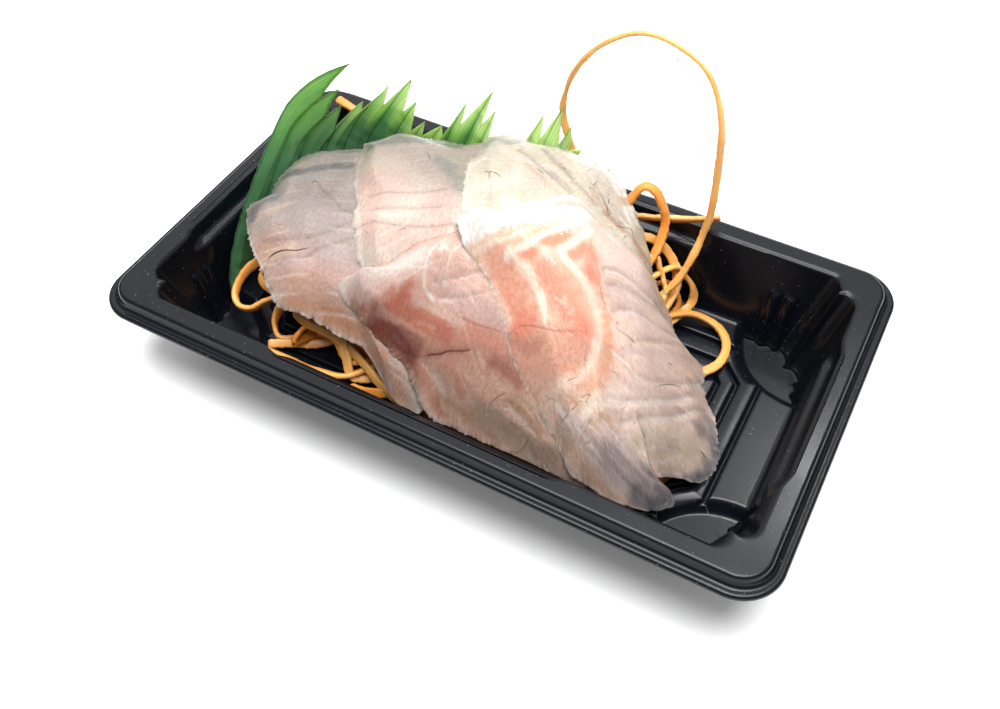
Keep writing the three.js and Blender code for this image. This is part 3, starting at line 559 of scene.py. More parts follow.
def floorRows(lower, step):  # rings from the middle out: round each groove, then on to the foot of the wall
    rows = []
    small = tray["grooves"][0]
    for share in tray["middleRings"]:
        x, y = loopRing(small[0] * share, small[1] * share, small[2])
        rows.append((x, y, np.full(x.shape, heap["floorZ"] - lower)))
    for halfX, halfY, chamfer in tray["grooves"]:
        for off, rise in tray["grooveSection"][::step]:
            x, y = loopRing(halfX + off, halfY + off, chamfer + off * (2 - math.sqrt(2)))
            rows.append((x, y, np.minimum(floorHeight(x, y), heap["floorZ"] + rise) - lower))
    x0, y0 = rows[-1][:2]
    x1, y1 = wallRing(heap["floorZ"], -tray["footGapBelow"] if lower else -tray["footGap"])
    for t in np.linspace(0, 1, tray["floorRings"] // step)[1:]:
        x, y = x0 + (x1 - x0) * t, y0 + (y1 - y0) * t
        rows.append((x, y, floorHeight(x, y) - lower))
    return rows


def rounded(points, times):  # corner cutting: each corner becomes two points at a quarter and three quarters
    p = np.array(points, float)
    for _ in range(times):
        cut = np.empty((2 * len(p) - 2, 2))
        cut[0::2] = 0.75 * p[:-1] + 0.25 * p[1:]
        cut[1::2] = 0.25 * p[:-1] + 0.75 * p[1:]
        p = np.vstack([p[:1], cut, p[-1:]])
    return p


# One closed sheet: floor, wall, lip, flange and rolled rim, then back under the flange, down the wall and in
def trayShell():
    rows = floorRows(0, 1)
    foot = rows[-1][2]
    top = tray["height"]
    # the wall rises from its foot, which is lower in the pockets: each height is a share of the way up
    for h in np.concatenate([np.linspace(*span) for span in tray["wallHeights"]]):
        share = h / (top - heap["floorZ"])
        z = foot + (top - foot) * share
        rows.append((*wallRing(z, -tray["footIn"] * np.exp(-h / tray["footRise"])), z))
    for out, down in tray["lip"]:
        x, y = wallRing(top - down, out)
        rows.append((x, y, np.full(x.shape, top - down)))
    x0, y0 = wallRing(top, tray["lip"][-1][0])
    x1, y1 = flangeRing(-tray["rimInset"])
    for t in tray["flangeRings"]:
        rows.append((x0 + (x1 - x0) * t, y0 + (y1 - y0) * t, np.full(x0.shape, top)))
    for out, down in rounded(tray["rim"], 2):
        x, y = flangeRing(out)
        rows.append((x, y, np.full(x.shape, top - down)))
    underFlange = wallRing(top - tray["sheet"], tray["sheet"] + tray["underLip"])
    rows.append((*underFlange, np.full(x0.shape, top - tray["sheet"])))
    lowFloor = floorRows(tray["sheet"], 2)
    footLow = lowFloor[-1][2]
    for h in tray["heightsBelow"]:
        share = h / (top - heap["floorZ"])
        z = footLow + (top - footLow) * share
        rows.append((*wallRing(z, tray["sheet"]), z))
    rows += lowFloor[::-1]
    grid = np.stack([wholeTurn(x, y, z) for x, y, z in rows])
    return rowsToMesh(grid, [0, 0, heap["floorZ"]], [0, 0, heap["floorZ"] - tray["sheet"]])


meshPiece("tray_shell", trayShell(), plasticMaterial, ["tray"])


# fish
slab = {"edge": 0.2, "edgeIn": 0.5, "settle": 0.34, "settleIn": 3, "swellFrom": -0.4, "swellIn": 8,
        "sides": 640, "topRows": 108, "lowRows": 18, "crowding": 1.7,
        "ragged": 0.24, "raggedSizes": (1.2, 5), "frayed": 0.15, "frayedSizes": (0.7, 1.4),
        "notched": 0.35, "notchSizes": (2.2, 4), "notchedFrom": (46, 52)}


def settled(d):  # the edge sinks on to what carries it
    return slab["settle"] * (1 - smooth(0, slab["settleIn"], d))


def fleshTop(piece, x, y):  # a thin rounded edge that swells to the slice's thickness, with the surface's relief
    d = inset(piece["table"], piece["centre"], x, y)
    q = np.clip(d / slab["edgeIn"], 0, 1)
    body = slab["edge"] * np.sqrt(1 - (1 - q) ** 2)
    body = body + (piece["thickness"] - slab["edge"]) * smooth(slab["swellFrom"], slab["swellIn"], d)
    return underside(piece, x, y) - settled(d) + body + fleshRelief(piece, x, y)


lobes = {"node": "fish_slice_5", "pulls": [((51, -21.6), 3.6, (0.3, -3.4)), ((55.6, -27.2), 3, (1.1, 2.3))]}


def lobePull(piece, x, y):  # the notch between the two right lobes is pulled down, the tip below it out under the other
    if piece["node"] == lobes["node"]:
        for (px, py), reach, (dx, dy) in lobes["pulls"]:
            pull = np.exp(-((x - px) ** 2 + (y - py) ** 2) / reach**2)
            x, y = x + dx * pull, y + dy * pull
    return x, y


def edgeShares(count):  # shares of the way out, closer together near the edge
    return 1 - (1 - np.linspace(0, 1, count + 1)[1:]) ** slab["crowding"]


# Rays from the centre to the outline: the top with its ragged edge, then back in underneath
def slicePoints(piece):
    angle = np.arange(slab["sides"]) / slab["sides"] * 2 * np.pi - np.pi
    radius = np.interp(angle, *piece["table"])
    cx, cy = piece["centre"]
    rows = []
    k = slices.index(piece)
    edge = cx + radius * np.cos(angle), cy + radius * np.sin(angle)
    ragged = slab["ragged"] * wobble(61 + k, 9, slab["raggedSizes"], *edge)
    ragged = ragged + slab["frayed"] * wobble(81 + k, 7, slab["frayedSizes"], *edge)
    notches = np.clip(wobble(91 + k, 5, slab["notchSizes"], *edge), 0, 2) ** 2
    ragged = ragged - slab["notched"] * smooth(*slab["notchedFrom"], edge[0]) * notches
    for share in edgeShares(slab["topRows"]):
        reach = radius * share + ragged * share**20
        flat = cx + radius * share * np.cos(angle), cy + radius * share * np.sin(angle)
        x, y = cx + reach * np.cos(angle), cy + reach * np.sin(angle)
        rows.append(np.stack([*lobePull(piece, x, y), fleshTop(piece, *flat)], -1))
    for share in edgeShares(slab["lowRows"])[-2::-1]:
        x, y = cx + radius * share * np.cos(angle), cy + radius * share * np.sin(angle)
        z = underside(piece, x, y) - settled(inset(piece["table"], piece["centre"], x, y))
        rows.append(np.stack([*lobePull(piece, x, y), z], -1))
    here = np.array([float(cx)]), np.array([float(cy)])
    poles = [[cx, cy, fleshTop(piece, *here)[0]], [cx, cy, underside(piece, *here)[0]]]
    return rowsToMesh(np.stack(rows), *poles)


# screen colours of the marks in the flesh
fleshTints = {
    "white": (255, 250, 245), "cream": (250, 232, 215), "creamWhite": (253, 238, 220),
    "whiteCream": (252, 240, 222), "orange": (248, 192, 156), "salmon": (236, 156, 130),
    "salmonStrong": (236, 138, 110), "salmonDeep": (212, 130, 108), "salmonBrown": (204, 116, 90),
    "maroon": (156, 72, 56), "maroonDark": (132, 62, 52), "brownRed": (175, 108, 92), "tan": (206, 160, 130),
    "ochre": (198, 148, 100), "tanGrey": (196, 170, 150), "pinkSoft": (245, 208, 196), "pinkGrey": (228, 198, 190),
    "pale": (245, 228, 218), "creamYellow": (240, 218, 190), "mauve": (205, 176, 170),
    "yellowGrey": (212, 192, 165), "blueGrey": (150, 150, 152), "lilacGrey": (180, 165, 165),
    "pinkWhite": (252, 236, 228), "creamPink": (242, 208, 190), "pinkFlesh": (232, 194, 180),
    "veinRed": (170, 70, 62), "veinDark": (120, 30, 32), "tanPink": (232, 200, 178), "greenGrey": (190, 198, 184),
    "greyTan": (190, 172, 158), "brownSoft": (205, 166, 140), "peach": (242, 208, 186), "paleGrey": (210, 212, 208),
    "paleGreen": (198, 204, 190), "beige": (228, 200, 176), "lilac": (214, 192, 192), "peachBrown": (212, 160, 132),
    "orangeBrown": (198, 142, 108), "lilacWhite": (216, 196, 200), "paleEdge": (240, 236, 228),
    "peachWash": (224, 172, 148), "pinkLight": (255, 214, 200), "peachBand": (248, 204, 176),
    "dustyRose": (210, 148, 126), "tipGrey": (112, 112, 118), "lilacPale": (238, 218, 212),
    "beigePink": (236, 214, 202), "peachLine": (226, 168, 146), "orangeLine": (226, 140, 100),
    "tanOrange": (226, 164, 128), "maroonWash": (180, 104, 82), "mauveBrown": (188, 140, 124),
}
fleshBase = {"fish_slice_1": (206, 190, 180), "fish_slice_2": (232, 212, 196), "fish_slice_3": (240, 228, 204),
             "fish_slice_4": (234, 188, 166), "fish_slice_5": (232, 202, 188)}
fleshGain = {"all": 0.46, "front": (0.34, 0.22, 0.32, 0.34, 0.46)}  # how light it is, and how much lighter its front is painted: painted light on the front slope
furrows = {"pale": (0.4, 0.8), "greyTan": (0.3, 0.6), "creamYellow": (0.45, 1.1), "creamPink": (0.15, 0.8),
           "veinDark": (0.2, 0.5)}  # depth and half width pressed in along a mark
# painted shade along one side of each furrow: offset, width, depth and tint
furrowPaintedShade = {"off": 0.45, "width": 0.6, "depth": 0.45, "tint": (176, 150, 150)}
clearTints = {"blueGrey": 0.25, "greenGrey": 0.22, "lilacGrey": 0.12, "paleGreen": 0.15, "paleGrey": 0.12}
# the marks in each slice: tint, width, strength, points along its middle
fleshMarks = {
    "fish_slice_1": [
        ("peachWash", 11, 0.75, [(-56, -17), (-46, -19), (-36, -20), (-26, -21)]),
        ("lilacGrey", 9.5, 0.35, [(-57.9, -6.7), (-48.5, -11), (-37.8, -13.8), (-30.6, -18.7)]),
        ("blueGrey", 3.3, 0.8, [(-65.7, -9.9), (-67.8, -6.3), (-65.5, -4.5), (-62.3, -2.5)]),
        ("blueGrey", 2.5, 0.75, [(-67.6, 1.1), (-67, 5.9), (-61.6, 7), (-54.6, 10.8), (-48.6, 12.1)]),
        ("paleGrey", 1, 0.7, [(-64.3, -3.4), (-65.7, 3.4), (-59.9, 4.8), (-52, 7.1)]),
        ("paleGreen", 1.3, 0.6, [(-68.5, 11.3), (-62.8, 13.1), (-58.4, 16), (-53.3, 18.7)]),
        ("beige", 1.7, 0.75, [(-65.3, -10.5), (-62.5, -8.6), (-58.9, -6.2), (-56.2, -3.6)]),
        ("lilac", 3.4, 0.5, [(-51.7, -2.1), (-45, -4.7), (-38.5, -6.3)]),
        ("lilac", 3.8, 0.5, [(-52.9, -20.2), (-47, -18.3), (-39.6, -15.6), (-33.8, -13.3)]),
        ("greyTan", 0.6, 0.55, [(-58.3, -14.7), (-51.5, -14), (-45.5, -12), (-40.7, -9.3), (-37, -5.9)]),
        ("greyTan", 0.5, 0.5, [(-52.8, 3), (-46.8, -0.3), (-42.2, -2.7), (-38.9, -3.1)]),
        ("greyTan", 0.6, 0.55, [(-51.1, -18.9), (-44.6, -17.1), (-40.9, -14.5), (-36.4, -11.5), (-34, -9.7)]),
        ("beige", 2.4, 0.6, [(-56.5, -17.6), (-51.9, -16.5), (-48.1, -15.5)]),
        ("peachBrown", 2.6, 0.8, [(-44.6, -24.8), (-38.9, -24.4), (-31.4, -25.3), (-25.7, -26.3)]),
        ("orangeBrown", 2.1, 0.75, [(-34.4, -23.9), (-28.7, -24.9), (-23.6, -25.9)]),
        ("peachBrown", 5.9, 0.85, [(-22.6, -28), (-17.6, -29.9), (-12.2, -32.5), (-7.9, -34.3)]),
        ("lilacWhite", 0.9, 0.6, [(-19.3, -28.8), (-14.7, -31.1), (-9.4, -33.6)]),
        ("peachBrown", 1.8, 0.7, [(-22, -25.8), (-18.1, -27.5), (-13.6, -29.5)]),
        ("paleEdge", 0.3, 0.9, [(-66.2, -10.8), (-62.5, -14.4), (-58.6, -17.3), (-55.5, -19.2),
         (-54.6, -20.7), (-51.1, -23.2), (-47.4, -25.3)]),
    ],
    "fish_slice_2": [
        ("pinkLight", 15, 0.8, [(-38, 4), (-28, -2), (-14, -2)]),
        ("greenGrey", 8, 0.7, [(-46, 22), (-38, 27), (-28, 30)]),
        ("cream", 7.1, 0.8, [(-41, 11.9), (-32.2, 9.6), (-23.7, 5), (-23.6, -2)]),
        ("whiteCream", 1.2, 0.9, [(-47.2, 14.8), (-43.9, 7.3), (-39.5, 0.6), (-34, -6.4),
         (-30.4, -11.5), (-27.8, -15)]),
        ("peach", 3.3, 0.5, [(-38.8, 9.1), (-32.8, 8.6), (-26.5, 5.8)]),
        ("greenGrey", 2.7, 0.85, [(-46, 17.8), (-39.6, 21.2), (-32.7, 24.1), (-26.6, 27.5)]),
        ("greenGrey", 3.3, 0.6, [(-25.7, 17.6), (-19.5, 12.8), (-14.2, 7.4)]),
        ("pinkFlesh", 5, 0.5, [(-27.9, -9.9), (-20.5, -9.2), (-11.2, -6.7)]),
        ("greyTan", 0.5, 0.6, [(-32.8, -6.8), (-26.4, -6.3), (-17.1, -5.9), (-8.3, -3.7)]),
        ("greyTan", 0.4, 0.5, [(-36.2, 1.1), (-30.6, 2.5), (-23.5, 4.6), (-17.8, 6.6)]),
        ("greyTan", 0.4, 0.5, [(-32.2, -3.2), (-25.4, -1.3), (-15.6, 0.6)]),
        ("whiteCream", 0.9, 0.5, [(-33.6, -3.6), (-27.8, -4.2), (-21.6, -2.9)]),
    ],
    "fish_slice_3": [
        ("cream", 7.7, 0.8, [(-8.8, 7.3), (-4.2, 10.8), (-0.5, 18.5)]),
        ("tanPink", 3.1, 0.5, [(-8, 5), (-3.2, 6.5), (0.3, 9.4)]),
        ("whiteCream", 1, 0.9, [(-9.1, 0.4), (-12.6, 7.5), (-16.3, 15.7), (-15.1, 19.3)]),
        ("greenGrey", 2.9, 0.65, [(-21.7, 30), (-11.1, 26), (-6.7, 36.2), (1.7, 33.7)]),
        ("whiteCream", 1.6, 0.8, [(-14.6, 26), (-7.5, 20.2), (-3.8, 20.2), (0.1, 22.4)]),
        ("tanPink", 1.4, 0.6, [(-3.3, 18.3), (1.9, 17.2), (6.8, 14.7)]),
        ("greyTan", 1.4, 0.6, [(-7, 23.4), (0.7, 21.2), (9.8, 16.8)]),
        ("greyTan", 1.2, 0.55, [(-3, 28.6), (6, 22.5), (15.5, 17.9)]),
        ("whiteCream", 3.8, 0.95, [(8.6, 26.2), (13, 28.2), (16, 32.3)]),
        ("cream", 2.8, 0.7, [(12.3, 24.5), (17.2, 23.1), (20.7, 23)]),
        ("tanPink", 2.1, 0.7, [(12.7, 20.4), (16.9, 19.3), (21.1, 18.4), (26.9, 19.3)]),
        ("brownSoft", 1.6, 0.75, [(18.2, 17.7), (22.1, 18.5), (26, 20.1), (29, 21.4)]),
        ("pale", 0.6, 0.7, [(13.4, 23.2), (17.7, 22.1), (21.7, 22)]),
        ("pale", 0.6, 0.7, [(15.7, 30.4), (19.4, 28.5), (23, 27)]),
    ],
    "fish_slice_4": [
        ("pinkFlesh", 10.8, 0.85, [(-6.8, -14.2), (-1.3, -14.4), (5.8, -16.5), (10.4, -18.7)]),
        ("dustyRose", 8.7, 0.8, [(-11.4, -25.1), (-3.5, -25.3), (3.6, -24.5), (11.3, -24.1)]),
        ("maroonWash", 6.2, 0.8, [(-16.4, -26.1), (-11.6, -27), (-6.7, -28.1)]),
        ("dustyRose", 8.7, 0.6, [(-5.1, -31.2), (1.8, -30.7), (9.4, -30.7), (16.8, -30.6)]),
        ("tanPink", 10.9, 0.5, [(-0.5, -33.1), (6, -32.9), (14.5, -32.9), (23, -33.2), (30.2, -34)]),
        ("pinkWhite", 5.8, 0.85, [(-29.3, -20.5), (-22.9, -20.7), (-17.7, -18), (-12.9, -15.3)]),
        ("pinkLight", 4, 0.8, [(-26.2, -22.3), (-19.7, -23.3), (-15.7, -22.5)]),
        ("mauve", 4.3, 0.5, [(-3.3, -18.5), (2.3, -17.4), (9, -18.4)]),
        ("tan", 1.1, 0.8, [(-25.9, -23), (-22.9, -24.3), (-20.7, -25.1)]),
        ("salmonBrown", 1.3, 0.55, [(-22.4, -24), (-17.9, -23.6), (-15.1, -21.6)]),
        ("salmonBrown", 2.2, 0.75, [(-15, -24), (-12.9, -22.9), (-11.9, -21.4), (-11.4, -19.8)]),
        ("salmonBrown", 3.5, 0.75, [(-14.2, -23.6), (-9, -23.5), (-4.3, -23.6), (-0.3, -23.7)]),
        ("maroon", 3.1, 0.8, [(-19.4, -25.6), (-14, -26.4), (-9.8, -27.3), (-6.1, -28.3)]),
        ("maroonDark", 2, 0.55, [(-12.9, -26.5), (-9.1, -27.6), (-6.6, -28.3)]),
        ("peachLine", 0.8, 0.75, [(-17.6, -24.5), (-14.1, -24.9), (-10.3, -25.2), (-6.3, -25.8), (-3, -26.2)]),
        ("creamPink", 1.5, 0.6, [(-9, -21.5), (-5.5, -21.4), (-1.8, -21), (1.9, -21.4)]),
        ("pinkWhite", 0.7, 0.7, [(-8, -9.5), (-9.2, -13.9), (-9, -17), (-7.8, -19.3), (-5.1, -20.2)]),
        ("pinkWhite", 0.5, 0.6, [(-3.8, -7), (-5, -12.1), (-4.7, -15.3), (-4.3, -17)]),
        ("pinkWhite", 0.4, 0.6, [(-16.7, -18.6), (-12.5, -16.8), (-9, -14.7)]),
        ("pinkWhite", 0.4, 0.5, [(-13.8, -20.1), (-10.9, -17.9), (-8.1, -15.5)]),
        ("greyTan", 0.3, 0.5, [(-6.5, -17.6), (-2.7, -14.5), (1.1, -11.6), (2.6, -10.6)]),
        ("greyTan", 0.3, 0.45, [(-4.3, -19), (0, -16.9), (4.5, -15)]),
        ("salmon", 2.6, 0.5, [(4.3, -22.1), (8.7, -21.9), (12.3, -22.2)]),
        ("veinRed", 0.3, 0.5, [(1.9, -20.4), (6, -20.5), (11.1, -20.1)]),
        ("salmonDeep", 2, 0.5, [(-4.1, -30.1), (-1.2, -31.7), (1.2, -33.4), (4.6, -34.2)]),
        ("salmonDeep", 1.7, 0.45, [(2, -28.1), (5.5, -29), (7.3, -30.6)]),
        ("pale", 1.1, 0.4, [(-5.6, -31.2), (-2.7, -33.7), (0.3, -35.6), (4.3, -35.6)]),
        ("pale", 1.1, 0.4, [(0.2, -29.7), (3.1, -31.3), (4, -33.1), (8.3, -33.5)]),
        ("creamPink", 0.9, 0.5, [(8, -24.3), (10.2, -25.6), (12.5, -26.3), (14.7, -27.6), (17.2, -27.8)]),
        ("brownRed", 2.6, 0.8, [(12.2, -24.8), (15.8, -25.1), (19.4, -25.6)]),
        ("tanGrey", 3.4, 0.7, [(12.9, -32.7), (19.1, -32.8), (25.1, -33.5), (30.4, -34.3)]),
        ("ochre", 1.7, 0.5, [(18.8, -29), (23.4, -30.2), (27, -31.7)]),
        ("ochre", 1.8, 0.45, [(2.8, -32.8), (7.1, -33.2), (10.7, -33.2)]),
        ("pale", 0.5, 0.45, [(18.3, -29.8), (22.8, -31.1), (26.5, -32.5)]),
        ("lilacGrey", 1.3, 0.6, [(-0.2, -36.5), (7.1, -35.9), (14.9, -36.4), (24.8, -36.4), (37.4, -35.2)]),
        ("mauveBrown", 3.6, 0.5, [(-14.2, -28.4), (-9.5, -30.9), (-4.3, -33.7)]),
        ("veinDark", 0.3, 0.9, [(-2.7, -27.9), (-0.2, -26.8), (1.3, -25.9), (4.4, -25.1), (6, -24.4)]),
        ("veinRed", 0.2, 0.4, [(-8, -29.7), (-5.2, -29), (-2.2, -27.8)]),
    ],
    "fish_slice_5": [
        ("peachBand", 13.2, 0.9, [(0.8, -10.8), (8.1, -14.5), (15.1, -18.4), (21.6, -21.7)]),
        ("peachBand", 12.5, 0.9, [(14.6, -6.5), (21.5, -9.3), (27.1, -13.6)]),
        ("peachBand", 8.3, 0.9, [(25, -19.4), (30.2, -20.5), (33.8, -22.8)]),
        ("orange", 4.3, 0.7, [(-0.1, -11), (5.5, -9.5), (11.5, -7.3), (15.4, -1), (20.8, 1.8)]),
        ("tanPink", 8.4, 0.85, [(22.2, -27.2), (28.4, -27.4), (34.8, -27.2), (39.4, -28.8)]),
        ("dustyRose", 9.2, 0.8, [(17.1, -22.3), (23.2, -22.6), (28.1, -20.1), (29.8, -17.1)]),
        ("white", 5.7, 1, [(-7, -6.9), (-1.6, -5.5), (1.5, 2.4), (6.6, 9.5), (11.5, 14.6), (15.3, 15.8)]),
        ("white", 3.5, 1, [(-4.7, -8), (1.4, -6.4), (6, -1.4), (10.3, 4.4), (16.2, 7.3)]),
        ("cream", 3.2, 0.8, [(15.3, 14.7), (19.2, 14.9), (23, 16.4), (27.5, 17.3)]),
        ("salmonStrong", 2.7, 0.75, [(9.3, -10.3), (12.1, -8.6), (14, -5.4), (16.2, 0.3)]),
        ("salmonStrong", 3.4, 0.8, [(19.7, -2.9), (20.7, 1), (23, -0.8), (24, -3.7)]),
        ("orange", 1.7, 0.6, [(-1.9, -9.6), (2.7, -8.8), (7, -7.8)]),
        ("salmon", 4.7, 0.7, [(4.1, -11.5), (8.3, -13.5), (12.5, -15.5), (16.6, -17.7)]),
        ("salmon", 6.2, 0.75, [(17.1, -10.8), (20.9, -11.8), (24.4, -13.1), (27, -14.3)]),
        ("salmonStrong", 3.4, 0.6, [(8.9, -16), (12.8, -17.8), (16.4, -19.2)]),
        ("salmonStrong", 3.7, 0.5, [(21, -13.7), (24.8, -14.6), (27.6, -14.7)]),
        ("brownRed", 2.1, 0.4, [(13.6, -21), (17.6, -21.4), (21.1, -20.9)]),
        ("orangeLine", 0.4, 0.7, [(20.8, 2.9), (24.1, -1), (26.7, -4.1), (28.4, -5.8), (30.2, -7.8), (33, -10.6)]),
        ("tanOrange", 2.5, 0.8, [(30.1, -8.6), (32.9, -11.8), (34.8, -16), (36.3, -22.1)]),
        ("tanOrange", 2.9, 0.6, [(29.3, -23), (33.8, -22.8), (36.8, -22)]),
        ("ochre", 2.1, 0.7, [(31.9, -27.1), (36.4, -28.4), (39.7, -29.2)]),
        ("ochre", 1.7, 0.5, [(38.3, -24.9), (40.5, -26.1)]),
        ("tanGrey", 4.6, 0.75, [(31.6, -31.4), (36.7, -32.3), (41.5, -32.2)]),
        ("creamWhite", 0.9, 0.7, [(-1.2, -9.9), (1.8, -9.1), (4.5, -8.6), (7.2, -7.4), (9.7, -4.8)]),
        ("creamWhite", 1.3, 0.85, [(17.4, 6.7), (14.8, 2.6), (12.9, -1.7), (11.6, -7.5), (7.6, -9.9)]),
        ("creamWhite", 1.4, 0.75, [(7.6, -9.8), (10.8, -10.6), (13.8, -11.6), (16.2, -13.1),
         (18.8, -15.3), (20.3, -17.2)]),
        ("creamWhite", 1.7, 0.85, [(19.5, 5.6), (18.5, 1.1), (17.5, -3.7), (18.9, -6.1), (20.9, -6.2),
         (23.4, -6.3), (25.9, -7.2)]),
        ("creamWhite", 1.7, 0.5, [(25.7, -7), (28.3, -8.4), (30.3, -11.7), (31.8, -15.7)]),
        ("creamWhite", 1.9, 0.5, [(31.8, -15.7), (32.5, -19.4), (31.4, -22.7), (28.2, -25.4)]),
        ("creamWhite", 1.9, 0.5, [(1.4, -11.1), (6, -14.1), (9.7, -16.5), (12.1, -18.2)]),
        ("creamWhite", 2.5, 0.7, [(35.2, -27), (36.2, -24.7), (37.4, -22.2), (39.3, -20)]),
        ("veinRed", 0.3, 0.6, [(15.1, -18.9), (18.8, -18.8), (22.8, -18.5), (26.1, -17.2), (29.1, -15.6)]),
        ("beigePink", 6.5, 0.7, [(45.4, -23.9), (49.9, -19), (54.3, -14.8)]),
        ("beigePink", 5.1, 0.7, [(38.3, -21), (43.1, -16.5), (47.7, -10.3)]),
        ("lilacPale", 3.4, 0.75, [(33.1, -29.1), (38.3, -30.9), (44.3, -31), (50.6, -30.4)]),
        ("lilacPale", 3, 0.7, [(39.7, -27.5), (44.6, -27), (49.8, -27.4), (53.9, -26)]),
        ("pale", 0.6, 0.7, [(28.6, -27.7), (34, -30), (39.8, -31), (46.4, -31.1)]),
        ("pale", 0.6, 0.6, [(36.8, -28.3), (41.5, -28.8), (46.9, -28.5), (52.4, -28.2)]),
        ("pale", 0.6, 0.5, [(38.9, -26.1), (43.6, -26.2), (49.2, -26.4), (53.9, -24.5)]),
        ("pale", 0.5, 0.5, [(28.6, -2.3), (32.1, 1.9), (35.3, 5.8), (37.8, 10.5)]),
        ("pale", 0.5, 0.7, [(34.1, -29.4), (39.6, -30.8), (45.7, -30.6), (52.1, -30.4)]),
        ("pinkSoft", 4.4, 0.6, [(24.2, 4), (28.2, 5.8), (31.4, 7.6)]),
        ("pinkGrey", 5.7, 0.6, [(30.9, 0.4), (35.1, 0.4), (39.5, -0.3)]),
        ("pale", 0.6, 0.8, [(26.4, -0.7), (29.2, 2.1), (32.6, 5.2), (35.8, 8.2), (38.5, 11.9)]),
        ("pale", 0.6, 0.6, [(31.4, -5.2), (34.3, -0.4), (38, 3.1), (40.5, 6.2), (44.3, 14.5)]),
        ("creamYellow", 0.7, 0.7, [(37.1, -7.4), (39.1, -2.5), (41.7, 3.4), (44.3, 10.6), (47.2, 16.4)]),
        ("mauve", 1.6, 0.45, [(36.1, -11.7), (39.3, -5.9), (42.7, 2.5), (45.8, 10)]),
        ("pale", 0.7, 0.55, [(34.3, -13.1), (37.6, -12.7), (41.2, -12.7), (44.6, -8.5), (48.8, 2.3), (50.3, 10.7)]),
        ("mauve", 1.1, 0.4, [(37.5, -16.4), (42.1, -14.4), (46.4, -7.5), (50.3, 2.4)]),
        ("pale", 0.7, 0.65, [(37.6, -22.5), (41.5, -18.4), (46.2, -11.8), (50.9, -0.1)]),
        ("mauve", 1.1, 0.35, [(39.6, -23.4), (43.9, -18), (49.8, -7.4)]),
        ("pale", 0.7, 0.7, [(42.1, -23.3), (45.5, -18.4), (49.5, -11.8), (54.1, 1.3)]),
        ("yellowGrey", 5.7, 0.55, [(46.4, -22.9), (50.9, -18.3), (56.2, -11.9)]),
        ("pale", 0.5, 0.5, [(46.7, -23.5), (49.4, -20.4), (53.8, -16)]),
        # painted shade: the grey edges and tips of the lobes stand for the black tray seen through the thin flesh
        ("blueGrey", 3, 0.75, [(55.1, 0.3), (59.1, -3.1), (60.9, -9), (59.5, -15.8)]),
        ("blueGrey", 2.2, 0.8, [(55.2, -21.3), (56.1, -25.9), (53.3, -30.7)]),
        ("lilacGrey", 4.7, 0.6, [(42.4, -29.5), (48.2, -28.5), (52.9, -27.7)]),
        ("pale", 0.4, 0.45, [(41.9, -29.5), (46, -29.1), (50.7, -28.5)]),
        ("veinRed", 0.2, 0.8, [(32.5, -5.8), (33.1, -8.1), (34.7, -7.8), (36.9, -7)]),
        ("veinRed", 0.2, 0.6, [(35.3, -12), (36.2, -9.8), (37.3, -7.8)]),
        ("veinRed", 0.1, 0.5, [(28.6, -5.7), (30.2, -6.8), (32.7, -7.9)]),
        ("tipGrey", 3.9, 0.8, [(50, -31.2), (53.2, -29.6), (55.3, -26.5)]),
        ("tipGrey", 1.8, 0.7, [(55.8, -21.8), (57.7, -17.8), (60, -14.5)]),
        ("tipGrey", 3.7, 0.6, [(55.1, -6.1), (58, -4.5), (60.2, -7.1)]),
        ("tipGrey", 2.3, 0.6, [(59.1, -11.2), (60.9, -11.6), (59.8, -14.1)]),
        ("tan", 1.1, 0.5, [(33.1, -31.6), (38.5, -33.7), (44, -33.9), (49.9, -32.8)]),
    ],
}
